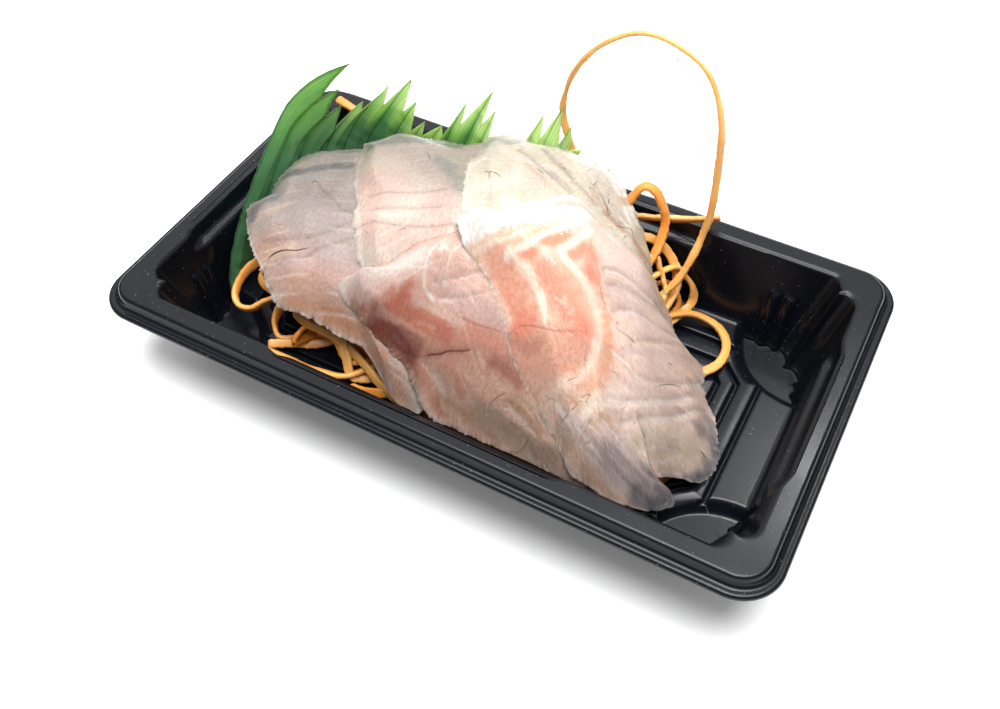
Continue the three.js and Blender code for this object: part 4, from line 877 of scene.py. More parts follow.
# hairs and fine vessels that lie on the flesh: slice, kind, thickness, points
fineLines = [
    (0, "hair", 0.36, [(-54.1, -18.2), (-54, -17.4), (-52.5, -16.6), (-49.8, -16.2), (-46.7, -15.7),
     (-44.1, -14.6)]),
    (0, "hair", 0.2, [(-55, 3.3), (-54.6, 4.2), (-53.5, 4)]),
    (0, "hair", 0.19, [(-45.7, -12.5), (-44.9, -11.9)]),
    (0, "hair", 0.17, [(-55.5, -10.9), (-54.8, -10.5)]),
    (1, "hair", 0.19, [(-30.3, 18.9), (-28.9, 17.6), (-27.7, 16.2)]),
    (1, "hair", 0.18, [(-21.5, -7.5), (-20.1, -7.2)]),
    (1, "hair", 0.16, [(-30.5, -8.6), (-29.4, -9.3)]),
    (2, "hair", 0.23, [(-8.7, 11.3), (-9.7, 13.6), (-7.8, 13.1), (-5.8, 11.7)]),
    (2, "hair", 0.19, [(-9.7, 13.6), (-11.5, 14)]),
    (2, "hair", 0.21, [(-0.4, 19.3), (0.4, 19.2), (1.6, 19)]),
    (2, "hair", 0.16, [(3.8, 23.8), (5, 23.6)]),
    (2, "hair", 0.21, [(10.2, 26.7), (8.9, 30.9), (8.2, 33.1)]),
    (2, "hair", 0.17, [(9.5, 29.6), (9.6, 32.3)]),
    (2, "hair", 0.22, [(11.1, 34.9), (12.1, 32.6)]),
    (2, "hair", 0.18, [(12.5, 24.7), (12.5, 22.9), (11.7, 22.4)]),
    (2, "hair", 0.21, [(14.4, 21.8), (15.8, 21), (17.2, 19.9), (18.9, 19.1)]),
    (2, "hair", 0.21, [(15.8, 25.7), (16.8, 22.3), (17.6, 19.6), (18.9, 18)]),
    (2, "hair", 0.21, [(21.2, 17.5), (22.3, 19.3), (23.2, 21.8), (24.2, 20.8)]),
    (2, "hair", 0.16, [(23.6, 16.4), (23.6, 17.7)]),
    (2, "hair", 0.22, [(3.7, 34.2), (3.6, 35.6)]),
    (3, "vessel", 0.24, [(14.6, -31.6), (14.7, -30.8), (15.5, -29.6), (16.5, -28.7), (17.4, -28.1)]),
    (3, "vessel", 0.17, [(18.3, -30.8), (19.9, -31.9), (21, -32.1), (23.1, -32.5), (25.3, -33)]),
    (3, "vessel", 0.26, [(25.3, -33), (26.2, -33.8), (27.1, -34.3), (28.1, -34.9)]),
    (3, "vessel", 0.19, [(25.3, -33), (24.5, -34.2), (23.1, -35.2), (21.3, -35.4)]),
    (3, "vessel", 0.17, [(22.6, -32.3), (24, -31.4), (25.2, -31.5)]),
    (3, "vessel", 0.15, [(14.8, -34.3), (17.3, -34.3), (19.7, -35.2)]),
    (3, "vessel", 0.15, [(16.3, -31.5), (17.4, -31.8), (18.8, -31.6)]),
    (4, "vessel", 0.19, [(30.7, -29.9), (31.5, -28.8), (32.4, -27.9), (33.1, -26.6)]),
    (4, "vessel", 0.17, [(33, -25.6), (34.2, -24.4), (35.1, -24.3)]),
    (4, "vessel", 0.17, [(40.5, -30.5), (41.1, -29.1), (40.2, -28.8)]),
    (4, "vessel", 0.17, [(37, -31.1), (37.9, -30.2)]),
    (4, "hair", 0.25, [(57.2, -10.4), (58.1, -10.3), (58.9, -10.1)]),
    (4, "vessel", 0.18, [(44.3, -10.8), (44.9, -7.9), (46.2, -4.3), (47.9, -2)]),
    (4, "vessel", 0.16, [(43.6, -1), (44.4, -0.2)]),
    (4, "vessel", 0.17, [(28.4, -25.7), (29.8, -24.1), (31, -22.9)]),
    (4, "vessel", 0.15, [(26.1, -27.8), (27.3, -27.1), (28.4, -27.4)]),
]


def lineDistance(x, y, line):  # shortest distance to a smooth curve through the points
    curve = curveThrough(line, steps=4)
    best = np.full(x.shape, np.inf)
    for a, b in zip(curve[:-1], curve[1:]):
        ab = b - a
        t = np.clip(((x - a[0]) * ab[0] + (y - a[1]) * ab[1]) / max(ab @ ab, 1e-9), 0, 1)
        best = np.minimum(best, np.hypot(x - a[0] - t * ab[0], y - a[1] - t * ab[1]))
    return best


def nearLine(x, y, line, reach):  # the points close enough to a mark to feel it
    p = np.array(line)
    return ((x > p[:, 0].min() - reach) & (x < p[:, 0].max() + reach) &
            (y > p[:, 1].min() - reach) & (y < p[:, 1].max() + reach))


# direction of the muscle's flakes in degrees, their pitch and how clearly they show
flakes = {"fish_slice_1": (-10, 4.2, 0.35), "fish_slice_2": (18, 3.4, 0.5), "fish_slice_3": (-32, 3.8, 0.4),
          "fish_slice_4": (-8, 3.6, 0.12), "fish_slice_5": (58, 3.2, 0.3)}
flakeLine = {"width": 0.1, "depth": 0.14, "tint": (255, 240, 230), "sway": 1.6, "swaySizes": (18, 45), "bend": 0.012}
relief = {"swell": 0.16, "swellSizes": (7, 16), "grain": 0.035, "grainSizes": (0.9, 2.4), "fade": (0.2, 4)}


def flakeFrame(piece, x, y):  # places along and across the flakes, which sway and bend a little
    turn = math.radians(flakes[piece["node"]][0])
    along = x * math.cos(turn) + y * math.sin(turn)
    sway = flakeLine["sway"] * wobble(51 + slices.index(piece), 4, flakeLine["swaySizes"], x, y)
    across = y * math.cos(turn) - x * math.sin(turn) + sway
    return along, across + flakeLine["bend"] * along**2 / (1 + 0.02 * np.abs(along))


def flakeLines(piece, x, y):  # 1 on a line between two flakes, fading in and out along it
    along, across = flakeFrame(piece, x, y)
    phase = across / flakes[piece["node"]][1]
    away = np.abs(phase - np.round(phase))
    seen = smooth(-0.6, 0.7, wobble(71 + slices.index(piece), 5, (8, 22), x, y))
    if piece["node"] == "fish_slice_5":
        seen = seen * smooth(26, 33, x) * smooth(-16, -8, y)  # elsewhere the flakes are the bands of the marks
    return np.exp(-(away / flakeLine["width"]) ** 2) * seen


def furrowDepth(piece, x, y):  # each furrow is a bell-shaped dip across its mark
    dip = np.zeros(x.shape)
    for tint, width, strength, line in fleshMarks[piece["node"]]:
        if tint in furrows:
            deep, half = furrows[tint]
            near = nearLine(x, y, line, half * 3)
            dip[near] = np.maximum(dip[near], deep * np.exp(-(lineDistance(x[near], y[near], line) / half) ** 2))
    return dip


def fleshRelief(piece, x, y):  # furrows, soft swells and a fine grain, all fading towards the edge
    d = inset(piece["table"], piece["centre"], x, y)
    swell = relief["swell"] * wobble(11 + slices.index(piece), 7, relief["swellSizes"], x, y)
    grain = relief["grain"] * wobble(131 + slices.index(piece), 12, relief["grainSizes"], x, y)
    lines = flakeLine["depth"] * flakeLines(piece, x, y)
    return (swell + grain - lines - furrowDepth(piece, x, y)) * smooth(*relief["fade"], d)


# painted shade: how much darker a slice gets, and between which y
paintedShade = {"fish_slice_1": (0.42, -18, 2), "fish_slice_2": (0.33, -6, 14), "fish_slice_4": (0.2, -14, -22)}


def paintedLightShare(node, x, y):  # painted light and shade: the front is lighter, the backs of the two left slices and the right lobes darker
    front = fleshGain["front"][int(node[-1]) - 1]
    share = 1 + front * smooth(-35, -20, y) * (1 - smooth(2, 22, y))
    if node in paintedShade:
        amount, start, end = paintedShade[node]
        share = share * (1 - amount * smooth(start, end, y))
    if node == "fish_slice_5":
        # painted shade on the right lobes, which turn away from the light
        share = share * (1 - 0.26 * smooth(36, 52, x) * (1 - 0.5 * smooth(-12, 0, y)))
    return share


soft = {"edge": 0.2, "edgeIn": 1.5, "lobesFrom": (42, 54), "least": 0.4, "markSpread": 0.56,
        "ragged": 0.12, "frayed": 0.07, "rim": (250, 244, 236), "rimAt": 0.1, "rimWidth": 0.2, "rimShare": 0.3,
        "rimShareFront": 0.1}


# The slice's own tint, then each mark laid over it with a ragged soft edge, with painted shade beside the furrows, then
# the flakes' lines and a pale rim, and last painted light and shade by place.
# Alpha says how clear the flesh is: thin edges and the clear tints let a little through.
def fleshColours(piece, points):
    x, y = points[:, 0], points[:, 1]
    d = inset(piece["table"], piece["centre"], x, y)
    paint = np.empty((len(points), 4))
    paint[:, :3] = linear(*fleshBase[piece["node"]])
    paint[:, 3] = 1 - soft["edge"] * (1 - smooth(0, soft["edgeIn"] + smooth(*soft["lobesFrom"], x), d))
    ragged = wobble(5, 8, (1.6, 6), x, y)
    frayed = wobble(6, 9, (0.5, 1.6), x, y)
    for tint, width, strength, line in fleshMarks[piece["node"]]:
        near = nearLine(x, y, line, 1.2 * width + 1)
        away = lineDistance(x[near], y[near], line)
        if width > 0.6:
            away = away + soft["ragged"] * min(width, 3) * ragged[near] + soft["frayed"] * min(width, 2) * frayed[near]
        share = strength * np.exp(-(np.abs(away) / (soft["markSpread"] * width)) ** 3)
        if tint in furrows:  # painted shade: the flesh is darker where it turns down into a furrow
            shadeAway = lineDistance(x[near] + furrowPaintedShade["off"], y[near] + furrowPaintedShade["off"], line)
            furrowShade = strength * furrowPaintedShade["depth"] * np.exp(-(shadeAway / furrowPaintedShade["width"]) ** 2)
            paint[near, :3] *= 1 - furrowShade[:, None] * (1 - linear(*furrowPaintedShade["tint"]))
        paint[near, :3] += (linear(*fleshTints[tint]) - paint[near, :3]) * share[:, None]
        if tint in clearTints:
            paint[near, 3] -= clearTints[tint] * share
    lines = flakes[piece["node"]][2] * flakeLines(piece, x, y)
    paint[:, :3] += (linear(*flakeLine["tint"]) - paint[:, :3]) * lines[:, None]
    rimShare = soft["rimShareFront"] if piece["node"] == "fish_slice_4" else soft["rimShare"]
    rim = np.exp(-((d - soft["rimAt"]) / soft["rimWidth"]) ** 2) * rimShare
    paint[:, :3] += (linear(*soft["rim"]) - paint[:, :3]) * rim[:, None]
    # painted light and shade by place, times the overall lightness
    paint[:, :3] *= fleshGain["all"] * paintedLightShare(piece["node"], x, y)[:, None]
    paint[:, 3] = np.clip(paint[:, 3], soft["least"], 1)
    return paint


for piece in slices:
    shape = slicePoints(piece)
    place = np.stack(flakeFrame(piece, shape[0][:, 0], shape[0][:, 1]), -1)
    colours = fleshColours(piece, shape[0])
    meshPiece(piece["node"] + "_flesh", shape, fishMaterial, [piece["node"]], colours, place)


def fineLineTube(path, radius, sides=6):  # a thin round line that tapers to both ends
    path = curveThrough(path, steps=5)
    along = np.gradient(path, axis=0)
    along /= np.linalg.norm(along, axis=1)[:, None] + 1e-9
    side = np.cross(along, [0.05, 0.02, 1.0])
    side /= np.linalg.norm(side, axis=1)[:, None] + 1e-9
    up = np.cross(side, along)
    angle = np.arange(sides) / sides * 2 * np.pi
    taper = np.sqrt(np.clip(np.sin(np.linspace(0.12, np.pi - 0.12, len(path))), 0, 1)) * radius
    rings = path[:, None] + (side[:, None] * np.cos(angle)[None, :, None] -
                             up[:, None] * np.sin(angle)[None, :, None]) * taper[:, None, None]
    return rowsToMesh(rings, path[0], path[-1])


def onFlesh(k, points, lifted):  # points set at a height over the top of a slice
    p = np.array(points, float)
    return np.column_stack([p, fleshTop(slices[k], p[:, 0], p[:, 1]) + lifted])


hairs = {"lifted": 0.03, "radiusShare": 0.42}
vessels = {"radius": 0.036, "step": 0.7, "steps": (4, 8), "wander": 0.55, "branchTurn": 0.9, "branchBend": 0.4,
           "branchStep": 0.6, "sunk": 0.01, "inFromEdge": 1}
# seed, slice, corners of the area, count
vesselAreas = [(41, 4, ((20, -30), (44, -16)), 16), (42, 3, ((8, -35), (26, -26)), 16),
               (43, 2, ((8, 20), (26, 33)), 8), (44, 4, ((36, -24), (56, 6)), 7), (45, 0, ((-62, -16), (-36, 6)), 6)]


def ahead(point, heading, step):  # one step on from a point
    return point + step * np.array([math.cos(heading), math.sin(heading)])


def vesselPaths(seed, area, count):  # short wandering lines with a side branch, at random places in an area
    draw = np.random.default_rng(seed)
    (x0, y0), (x1, y1) = area
    for _ in range(count):
        start = np.array([draw.uniform(x0, x1), draw.uniform(y0, y1)])
        heading = draw.uniform(0, 2 * np.pi)
        line = [start]
        for _ in range(draw.integers(*vessels["steps"])):
            heading += draw.normal(0, vessels["wander"])
            line.append(ahead(line[-1], heading, vessels["step"]))
        yield line
        heading += draw.choice([-1, 1]) * vessels["branchTurn"]
        branch = [line[2], ahead(line[2], heading, vessels["branchStep"])]
        branch.append(ahead(branch[-1], heading + vessels["branchBend"], vessels["step"]))
        yield branch


hairTubes, vesselTubes = [], []
for k, kind, thickness, line in fineLines:
    tube = fineLineTube(onFlesh(k, line, hairs["lifted"]), thickness * hairs["radiusShare"])
    (hairTubes if kind == "hair" else vesselTubes).append(tube)
for seed, k, area, count in vesselAreas:
    for line in vesselPaths(seed, area, count):
        if min(inset(slices[k]["table"], slices[k]["centre"], *np.array(line).T)) > vessels["inFromEdge"]:
            vesselTubes.append(fineLineTube(onFlesh(k, line, -vessels["sunk"]), vessels["radius"]))
meshPiece("fish_hairs", joinMeshes(hairTubes), darkLineMaterial)
meshPiece("fish_vessels", joinMeshes(vesselTubes), vesselMaterial)
print("fish made")

# carrot
shreds = {
    "width": 2.3, "thick": 1.3, "loopWidth": 1.85, "loopThick": 1.15, "cornerWidth": 2.2, "cornerThick": 1.5,
    "loopTone": 0.75, "square": 0.5, "uneven": 0.06, "unevenSizes": (6, 18), "bumpy": 0.03, "bumpySizes": (1.5, 3),
    "jagged": 0.05, "jaggedSizes": (0.9, 2.4), "turns": (22, 40), "turning": 0.4, "endLength": 0.5, "uvLength": 10,
    "standingLoop": [[10, 27, 12], [9, 31, 17], [6.4, 37.1, 22.5], [2.8, 38.4, 30.1], [-1, 39.6, 37.4],
                     [-4.5, 41, 46.1], [-3.5, 42.4, 55], [0.4, 42.8, 62.5], [5.4, 44, 67.4], [12, 45, 70.6],
                     [19.4, 45, 70.4], [27, 44, 67.8], [31.4, 43, 63.4], [34.8, 41, 56], [36.4, 39, 46],
                     [37.4, 36.5, 35], [37, 34.4, 29], [36.4, 31, 24], [34.5, 27, 18], [30, 22, 12]],
    "paths": [
        [[-54, -11, 13], [-61, -10.6, 14.5], [-64.7, -13.7, 13], [-66.4, -17.1, 10.5], [-66.2, -20.7, 8],
         [-63.5, -22.8, 6.8], [-60, -22.4, 7.2], [-57.4, -19.8, 8.6], [-53, -15, 9.5]],
        [[-55, -9, 11], [-62, -12.6, 11], [-61, -15.4, 10.4], [-56, -16, 9], [-50, -14, 8]],
        [[-47, -15, 12], [-50, -20, 12.5], [-51.4, -22.2, 9.6], [-51.2, -24.2, 7], [-48.6, -25.8, 5.3],
         [-44, -23, 5.2], [-38, -20, 6]],
        [[-50.4, -28.6, 5.2], [-45.4, -25.6, 5.1], [-39.6, -22.8, 5.2], [-34, -18, 6]],
        [[-49.8, -30.2, 5.3], [-41.5, -30.6, 6], [-34.3, -31, 7], [-26.6, -30, 8], [-22, -25, 8.4], [-19, -20, 8]],
        [[-40, -17, 6], [-43.2, -26.6, 8], [-42.4, -23.9, 10.4], [-40, -22.6, 11.4], [-36.5, -22.2, 11.4],
         [-32.9, -23, 10.4], [-29.3, -25.3, 9.2], [-26, -25.8, 9], [-22, -21, 8]],
        [[-47, -16, 10], [-46, -21.4, 12.6], [-41, -23.4, 13], [-34, -23.6, 12.6], [-27, -24.8, 11.6],
         [-21, -27, 10.6], [-15, -29.4, 9.4], [-8, -30, 8], [0, -26, 8]],
        [[-28, -18, 12], [-29.6, -23.6, 13], [-27.4, -26.6, 10.4], [-24.4, -28.6, 7.2], [-18, -24, 6]],
        [[-24, -31, 6.4], [-19.4, -31, 7.2], [-15, -30, 8.4], [-9, -26, 8]],
        [[12, 24, 24], [17, 30.4, 31], [20.4, 33.8, 37.6], [23.6, 34.6, 37.2], [25.8, 34.4, 34.2],
         [27.4, 34, 30], [27.8, 32, 26.4], [27.6, 28, 23], [25, 20, 18]],
        [[12, 25, 20], [18, 34, 26], [24.1, 36.8, 26.9], [29.7, 38.8, 27.3], [34.3, 40.2, 28.1], [38.8, 41.7, 29.2]],
        [[16, 24, 20], [22.6, 31.4, 24], [27, 33.4, 22.4], [30, 33.4, 20], [32.2, 32.6, 17.6],
         [33.8, 31, 15], [34.6, 27.6, 13.6], [34, 22, 12]],
        [[26, 20, 18], [32, 31, 18.6], [35.6, 33, 14.6], [37.8, 33, 11.4], [38.4, 31.6, 8.6], [37.4, 28.6, 7.4],
         [34, 20, 7]],
        [[22, 20, 22], [27.4, 28, 22.4], [29.8, 28, 19.6], [31.6, 26.8, 17], [33.2, 24.6, 14.6], [33, 17, 12]],
        [[28, 14, 8], [33.6, 22.4, 8.8], [36.4, 26, 8.4], [39.4, 29, 7.2], [43, 30.2, 6], [46.8, 29.6, 5.3],
         [49.8, 26.8, 5.1], [51.2, 22.8, 5.1], [51, 18.4, 5.1], [48.8, 14.6, 5.1], [44, 9, 5.4], [36, 2, 7]],
        [[24, 18, 14], [30, 30.4, 12.6], [34, 31.6, 9.6], [35.6, 29, 6.6], [32, 18, 6]],
        [[44, -14, 5.6], [49, -20.6, 5.2], [53, -25.4, 5.1]],
    ],
    "corner": [[-72.3, 39.2, 27], [-67.1, 38.6, 26.2], [-60, 38.3, 24.3], [-54, 37.7, 21], [-48, 36.7, 17],
               [-43, 35.9, 13.2]],
}


# A rounded square carried along a curve, turning slowly; its size varies a little along the way
def shredTube(points, width, thick, seed, tone=None, sides=12, stepLength=0.45):
    coarse = curveThrough(points, steps=12)
    length = np.concatenate([[0], np.cumsum(np.linalg.norm(np.diff(coarse, axis=0), axis=1))])
    count = max(int(length[-1] / stepLength), 4)
    at = np.linspace(0, length[-1], count)
    path = np.stack([np.interp(at, length, coarse[:, i]) for i in range(3)], -1)
    along = np.gradient(path, axis=0)
    along /= np.linalg.norm(along, axis=1)[:, None]
    side = np.cross(along, [0, 0, 1.0])
    side[np.linalg.norm(side, axis=1) < 0.15] = [1, 0, 0]
    side -= along * np.sum(side * along, 1)[:, None]
    side /= np.linalg.norm(side, axis=1)[:, None]
    up = np.cross(side, along)
    draw = np.random.default_rng(seed)
    start, turns, phase = draw.uniform(0, np.pi), draw.uniform(*shreds["turns"]), draw.uniform(0, 6)
    twist = start + np.sin(at / turns + phase) * shreds["turning"]
    turned = side * np.cos(twist)[:, None] + up * np.sin(twist)[:, None]
    upTurned = -side * np.sin(twist)[:, None] + up * np.cos(twist)[:, None]
    angle = np.arange(sides) / sides * 2 * np.pi
    c, s = np.cos(angle), np.sin(angle)
    square = np.stack([np.sign(c) * np.abs(c) ** shreds["square"], np.sign(s) * np.abs(s) ** shreds["square"]], -1)
    size = (1 + shreds["uneven"] * wobble(seed, 4, shreds["unevenSizes"], at)
            + shreds["bumpy"] * wobble(seed + 1, 3, shreds["bumpySizes"], at))
    oneSide, otherSide = (wobble(seed + i, 5, shreds["jaggedSizes"], at)[:, None] for i in (2, 3))
    jagged = 1 + shreds["jagged"] * np.where(c[None, :] > 0, oneSide, otherSide)
    ends = np.sqrt(np.clip(np.minimum(at, length[-1] - at) / shreds["endLength"] + 0.5, 0, 1))
    rings = path[:, None] + (turned[:, None] * (square[None, :, :1] * jagged[..., None]) * width / 2 -
                             upTurned[:, None] * square[None, :, 1:] * thick / 2) * (size * ends)[:, None, None]
    shape = rowsToMesh(rings, path[0], path[-1])
    u = np.tile(np.arange(sides) / sides, count)
    v = np.repeat(at / shreds["uvLength"], sides)
    offset = draw.uniform(0, 50)
    uv = np.stack([np.concatenate([u, [0, 0]]) + offset, np.concatenate([v, [0, v[-1]]])], -1)
    tone = draw.uniform(0, 1) if tone is None else tone
    deep, pale = np.array(shredLook["deep"]), np.array(shredLook["pale"])
    cut = np.tile(np.abs(c) ** 6, count) * shredLook["edge"]  # the cut sides are paler than the flat ones
    mix = np.clip(np.concatenate([tone + cut, [tone, tone]]), 0, 1.3)[:, None]
    colour = np.hstack([deep + (pale - deep) * mix, np.ones((len(mix), 1))])
    return shape, uv, colour


def shredPiece(name, tubes, nodes):
    shapes, uvs, colours = zip(*tubes)
    meshPiece(name, joinMeshes(shapes), carrotMaterial, nodes, np.vstack(colours), np.vstack(uvs))


tubes = [shredTube(shreds["standingLoop"], shreds["loopWidth"], shreds["loopThick"], 3, tone=shreds["loopTone"])]
for i, points in enumerate(shreds["paths"]):
    tubes.append(shredTube(points, shreds["width"], shreds["thick"], 20 + i))
shredPiece("carrot_shreds", tubes, ["carrot_heap"])
cornerTube = shredTube(shreds["corner"], shreds["cornerWidth"], shreds["cornerThick"], 77)
shredPiece("carrot_shred_in_corner", [cornerTube], ["carrot_shred_corner"])


core = {"sides": 240, "rows": 60, "crowding": 1.6, "below": 0.9, "uvLength": 8}


def coreShape():  # rays from the middle of the heap out to its outline, then straight down to the floor
    angle = np.arange(core["sides"]) / core["sides"] * 2 * np.pi - np.pi
    radius = np.interp(angle, *heap["table"])
    cx, cy = heap["coreCentre"]
    rows = []
    floor = heap["floorZ"] + lie["restGap"]
    for share in 1 - (1 - np.linspace(0, 1, core["rows"] + 1)[1:]) ** core["crowding"]:
        x, y = cx + radius * share * np.cos(angle), cy + radius * share * np.sin(angle)
        rows.append(np.stack([x, y, coreTop(x, y) - core["below"]], -1))
    rows.append(np.stack([x, y, np.full(core["sides"], floor)], -1))
    here = np.array([float(cx)]), np.array([float(cy)])
    return rowsToMesh(np.stack(rows), [cx, cy, coreTop(*here)[0] - core["below"]], [cx, cy, floor])


cover = {"seed": 9, "count": 90, "angles": (0.15, 3.9), "turn": (0.25, 0.6), "share": (0.74, 1), "knots": 6,
         "stray": 0.045, "shareLimits": (0.65, 1.01), "sunk": 0.5, "offFloor": 1.6, "width": 2.1, "thick": 1.3}


def overCore():  # short curves that wander over the core's back and sides
    draw = np.random.default_rng(cover["seed"])
    cx, cy = heap["coreCentre"]
    for _ in range(cover["count"]):
        sweep = draw.choice([-1, 1]) * draw.uniform(*cover["turn"])
        angle = draw.uniform(*cover["angles"]) + np.linspace(0, sweep, cover["knots"])
        share = draw.uniform(*cover["share"]) + draw.normal(0, cover["stray"], cover["knots"])
        share = np.clip(share, *cover["shareLimits"])
        radius = np.interp(np.arctan2(np.sin(angle), np.cos(angle)), *heap["table"]) * share
        x, y = cx + radius * np.cos(angle), cy + radius * np.sin(angle)
        yield np.stack([x, y, np.maximum(coreTop(x, y) - cover["sunk"], heap["floorZ"] + cover["offFloor"])], -1)


covering = [shredTube(points, cover["width"], cover["thick"], 200 + i, sides=8, stepLength=0.8)
            for i, points in enumerate(overCore())]
shredPiece("carrot_shreds_over_core", covering, ["carrot_heap"])
coreMesh = coreShape()
coreTint = np.tile([*shredLook["core"], 1], (len(coreMesh[0]), 1))
corePlaces = coreMesh[0][:, :2] / core["uvLength"]
meshPiece("carrot_core", coreMesh, carrotMaterial, ["carrot_heap"], coreTint, corePlaces)

# plastic grass
grass = {
    "thickness": 0.24, "bottomZ": 4.6, "halfLength": 69.4, "halfWidth": 32.8, "cornerRadius": 13.6, "start": -22,
    "lean": 0.16, "sweep": 1.7, "rows": 44, "step": 0.18, "vein": 0.62,
    "pleat": 0.35, "pleatIn": 0.3, "uneven": 0.1, "unevenSizes": (2, 7), "thinning": 0.5,
    "columns": [[3, 56.6, 42.7], [7, 49.6, 33.9], [14, 53.9, 35.6], [20, 50, 28.5], [30, 54, 30.9],
                [38, 51.4, 23.6], [44, 58.3, 32.1], [46, 58, 29.2], [50, 64.7, 38.9], [53, 63.3, 32.8],
                [55, 71.9, 43], [58, 69.4, 32.8], [61, 73.2, 36.7], [64, 71.8, 27.7], [66, 75.8, 31.6],
                [68, 75.4, 27.6], [71, 81, 32.2], [74, 81.4, 29.4], [77, 88.4, 41.8], [80, 86.8, 34.7],
                [83, 95.5, 46.9], [86, 92.8, 36.7], [88, 96.5, 41.8], [91, 94.6, 31.7], [94, 100, 34.2],
                [97, 104.1, 33.5], [100, 109.6, 45], [102.4, 109.5, 38.3], [104.6, 114.4, 48.4], [107, 114.5, 38.3],
                [109, 117.3, 44.6], [111, 117.7, 37.7], [113, 120.8, 39]],  # foot along the wall, tip along, tip height
}


# The upright band along the left wall, round the corner and along the back wall, leaning out as it rises
def grassPlace(s, z, out):
    r, start = grass["cornerRadius"], grass["start"]
    lean = grass["lean"] * (z - grass["bottomZ"]) + out
    side = grass["halfWidth"] - r - start
    turn = np.pi / 2 * r
    angle = np.pi - np.clip(s - side, 0, turn) / r
    x = -grass["halfLength"] + r + (r + lean) * np.cos(angle)
    y = grass["halfWidth"] - r + (r + lean) * np.sin(angle)
    x = x + np.maximum(s - side - turn, 0)
    y = y + np.minimum(s - side, 0)
    return np.stack([x, y, z], -1)


# Painted light and shade: a light green at the tips, where light comes through the film, and deep green at the foot,
# pale veins that run up each blade, and painted shade in the crease up its middle and in the notches between blades
def grassColours(foot, v, fold):
    up = np.concatenate([v[:, 0], v[::-1, 0]])[::-1][None, :] * np.ones((len(foot), 1))
    across = foot[:, None] * np.ones(up.shape)
    left = 1 - smooth(*grassLook["leftTo"], across)
    low = grassLook["backlitFrom"] - grassLook["lowerBy"] * smooth(*grassLook["lowerFrom"], across)
    blotches = grassLook["blotch"] * wobble(3, 5, (1.5, 6), across, up * 8)
    backlit = smooth(low, low + grassLook["backlitIn"], up) * (1 - grassLook["leftLessBacklit"] * left)
    backlit = np.clip(backlit + blotches, 0, 1)
    deep, tip = np.array(grassLook["deep"]), np.array(grassLook["backlit"])
    colour = deep + (tip - deep) * backlit[..., None]
    vein = np.clip(np.sin(across * 2 * np.pi / grass["vein"]), 0, 1) ** 3
    # painted shade in each blade's crease and in the notch between two blades
    crease = np.exp(-(fold[:, None] / grassLook["crease"]) ** 2)
    crease = crease + grassLook["valleyShare"] * np.exp(-((1 - fold[:, None]) / grassLook["valley"]) ** 2)
    colour *= (1 + (grassLook["vein"] - 1) * vein)[..., None]
    colour *= 1 - (1 - grassLook["fold"]) * np.clip(crease, 0, 1)[..., None]
    paint = np.ones((colour.shape[0] * colour.shape[1], 4))
    paint[:, :3] = colour.reshape(-1, 3)
    paint[:, 3] = (grassLook["alpha"] - grassLook["alphaDrop"] * backlit).ravel()
    return paint


def grassShape():  # columns from each foot to its tip, swept along the wall, pleated along each blade's middle
    columns = np.array(grass["columns"], float)
    steps = np.maximum(np.ceil(np.diff(columns[:, 0]) / grass["step"]).astype(int), 5)
    at = np.concatenate([i + np.arange(n) / n for i, n in enumerate(steps)] + [[len(columns) - 1]])
    foot, tip, height = (np.interp(at, np.arange(len(columns)), columns[:, i]) for i in range(3))
    fold = np.abs((at + 1) % 2 - 1)  # 0 on a blade's middle, 1 in the notch between two blades
    v = np.linspace(0, 1, grass["rows"])[:, None]
    s = foot + (tip - foot) * v ** grass["sweep"]
    z = grass["bottomZ"] + (height - grass["bottomZ"]) * v
    pleat = grass["pleat"] * (0.5 - np.abs(fold))[None, :] * smooth(0, grass["pleatIn"], v)
    middle = pleat + grass["uneven"] * wobble(8, 6, grass["unevenSizes"], s, z)
    half = grass["thickness"] / 2 * (1 - grass["thinning"] * v)
    front = grassPlace(s, z, middle - half)
    back = grassPlace(s, z, middle + half)
    ring = np.concatenate([front, back[::-1]], 0).transpose(1, 0, 2)[:, ::-1]
    points, quads, tris = rowsToMesh(ring)
    around = ring.shape[1]
    j = np.arange(around // 2 - 1)
    start = np.stack([j + 1, j, around - 1 - j, around - 2 - j], -1)
    end = (len(ring) - 1) * around + start[:, ::-1]
    return (points, np.vstack([quads, start, end]), tris), grassColours(foot, v, fold)


shape, paint = grassShape()
meshPiece("grass_blades", shape, grassMaterial, ["grass_strip"], paint)
print("pieces made")

# floor, light and camera
studio = {
    "floor": 0.95, "glow": 0.06, "overhead": 0.6, "eyeLevel": 0.1, "aim": (0, 0, 0.02),
    "lights": {"key": {"place": (0.05, -0.02, 1.05), "size": 0.9, "power": 22.0},
               "panel": {"place": (-0.5, 0.75, 0.95), "size": 1.4, "power": 5.5},
               "glint": {"place": (0.1, 0.1, 1.0), "size": 0.06, "power": 1.1},
               "back_glint": {"place": (0.1, 0.62, 0.9), "size": 0.07, "power": 1.2}},
    "cameraPlace": (0.08049, -0.14603, 0.20280), "lens": 37.09, "sensor": 36,
    "cameraAxes": ((0.87903, 0.47674, -0.00545), (-0.36576, 0.68163, 0.63371), (0.30583, -0.55505, 0.77355)),
}


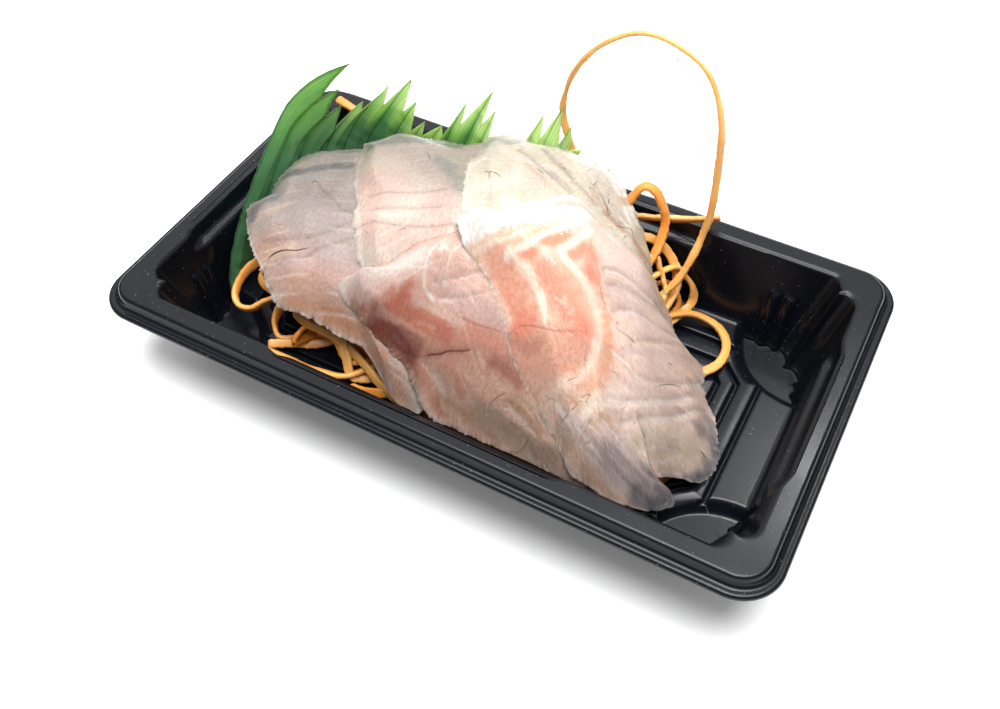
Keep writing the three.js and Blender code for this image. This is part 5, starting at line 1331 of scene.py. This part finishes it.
def floorPlane():
    mesh = bpy.data.meshes.new("table_top")
    size = 3.0
    mesh.from_pydata([(-size, -size, 0), (size, -size, 0), (size, size, 0), (-size, size, 0)], [], [(0, 1, 2, 3)])
    obj = bpy.data.objects.new("table_top", mesh)
    bpy.context.scene.collection.objects.link(obj)
    material, _, shader, _ = newMaterial("white_table")
    shader.inputs["Base Color"].default_value = (studio["floor"], studio["floor"], studio["floor"], 1)
    shader.inputs["Roughness"].default_value = 0.9
    shader.inputs["Emission Color"].default_value = (1, 1, 1, 1)
    shader.inputs["Emission Strength"].default_value = studio["glow"]
    mesh.materials.append(material)


def softLight(name, place, size, power):
    data = bpy.data.lights.new(name, "AREA")
    data.shape = "DISK"
    data.size = size
    data.energy = power
    lamp = bpy.data.objects.new(name, data)
    bpy.context.scene.collection.objects.link(lamp)
    lamp.location = place
    lamp.rotation_euler = (Vector(studio["aim"]) - Vector(place)).to_track_quat("-Z", "Y").to_euler()


def softRoom():  # a room that is brighter overhead than at eye level
    world = bpy.data.worlds.new("soft_room")
    world.use_nodes = True
    tree = world.node_tree
    coords = addNode(tree, "ShaderNodeTexCoord")
    split = addNode(tree, "ShaderNodeSeparateXYZ")
    rise = addNode(tree, "ShaderNodeMapRange", {"From Min": 0.1, "From Max": 0.8, "To Min": studio["eyeLevel"],
                                                "To Max": studio["overhead"]})
    tree.links.new(coords.outputs["Generated"], split.inputs["Vector"])
    tree.links.new(split.outputs["Z"], rise.inputs["Value"])
    tree.links.new(rise.outputs["Result"], tree.nodes["Background"].inputs["Strength"])
    tree.nodes["Background"].inputs["Color"].default_value = (1, 1, 1, 1)
    bpy.context.scene.world = world


def setCamera():  # its axes are right, up and back
    data = bpy.data.cameras.new("camera")
    data.lens = studio["lens"]
    data.sensor_width = studio["sensor"]
    camera = bpy.data.objects.new("camera", data)
    bpy.context.scene.collection.objects.link(camera)
    turn = Matrix(studio["cameraAxes"]).transposed().to_4x4()
    camera.matrix_world = Matrix.Translation(studio["cameraPlace"]) @ turn
    bpy.context.scene.camera = camera


floorPlane()
for name, lamp in studio["lights"].items():
    softLight(name, **lamp)
softRoom()
setCamera()
bpy.context.scene.view_settings.view_transform = "Standard"
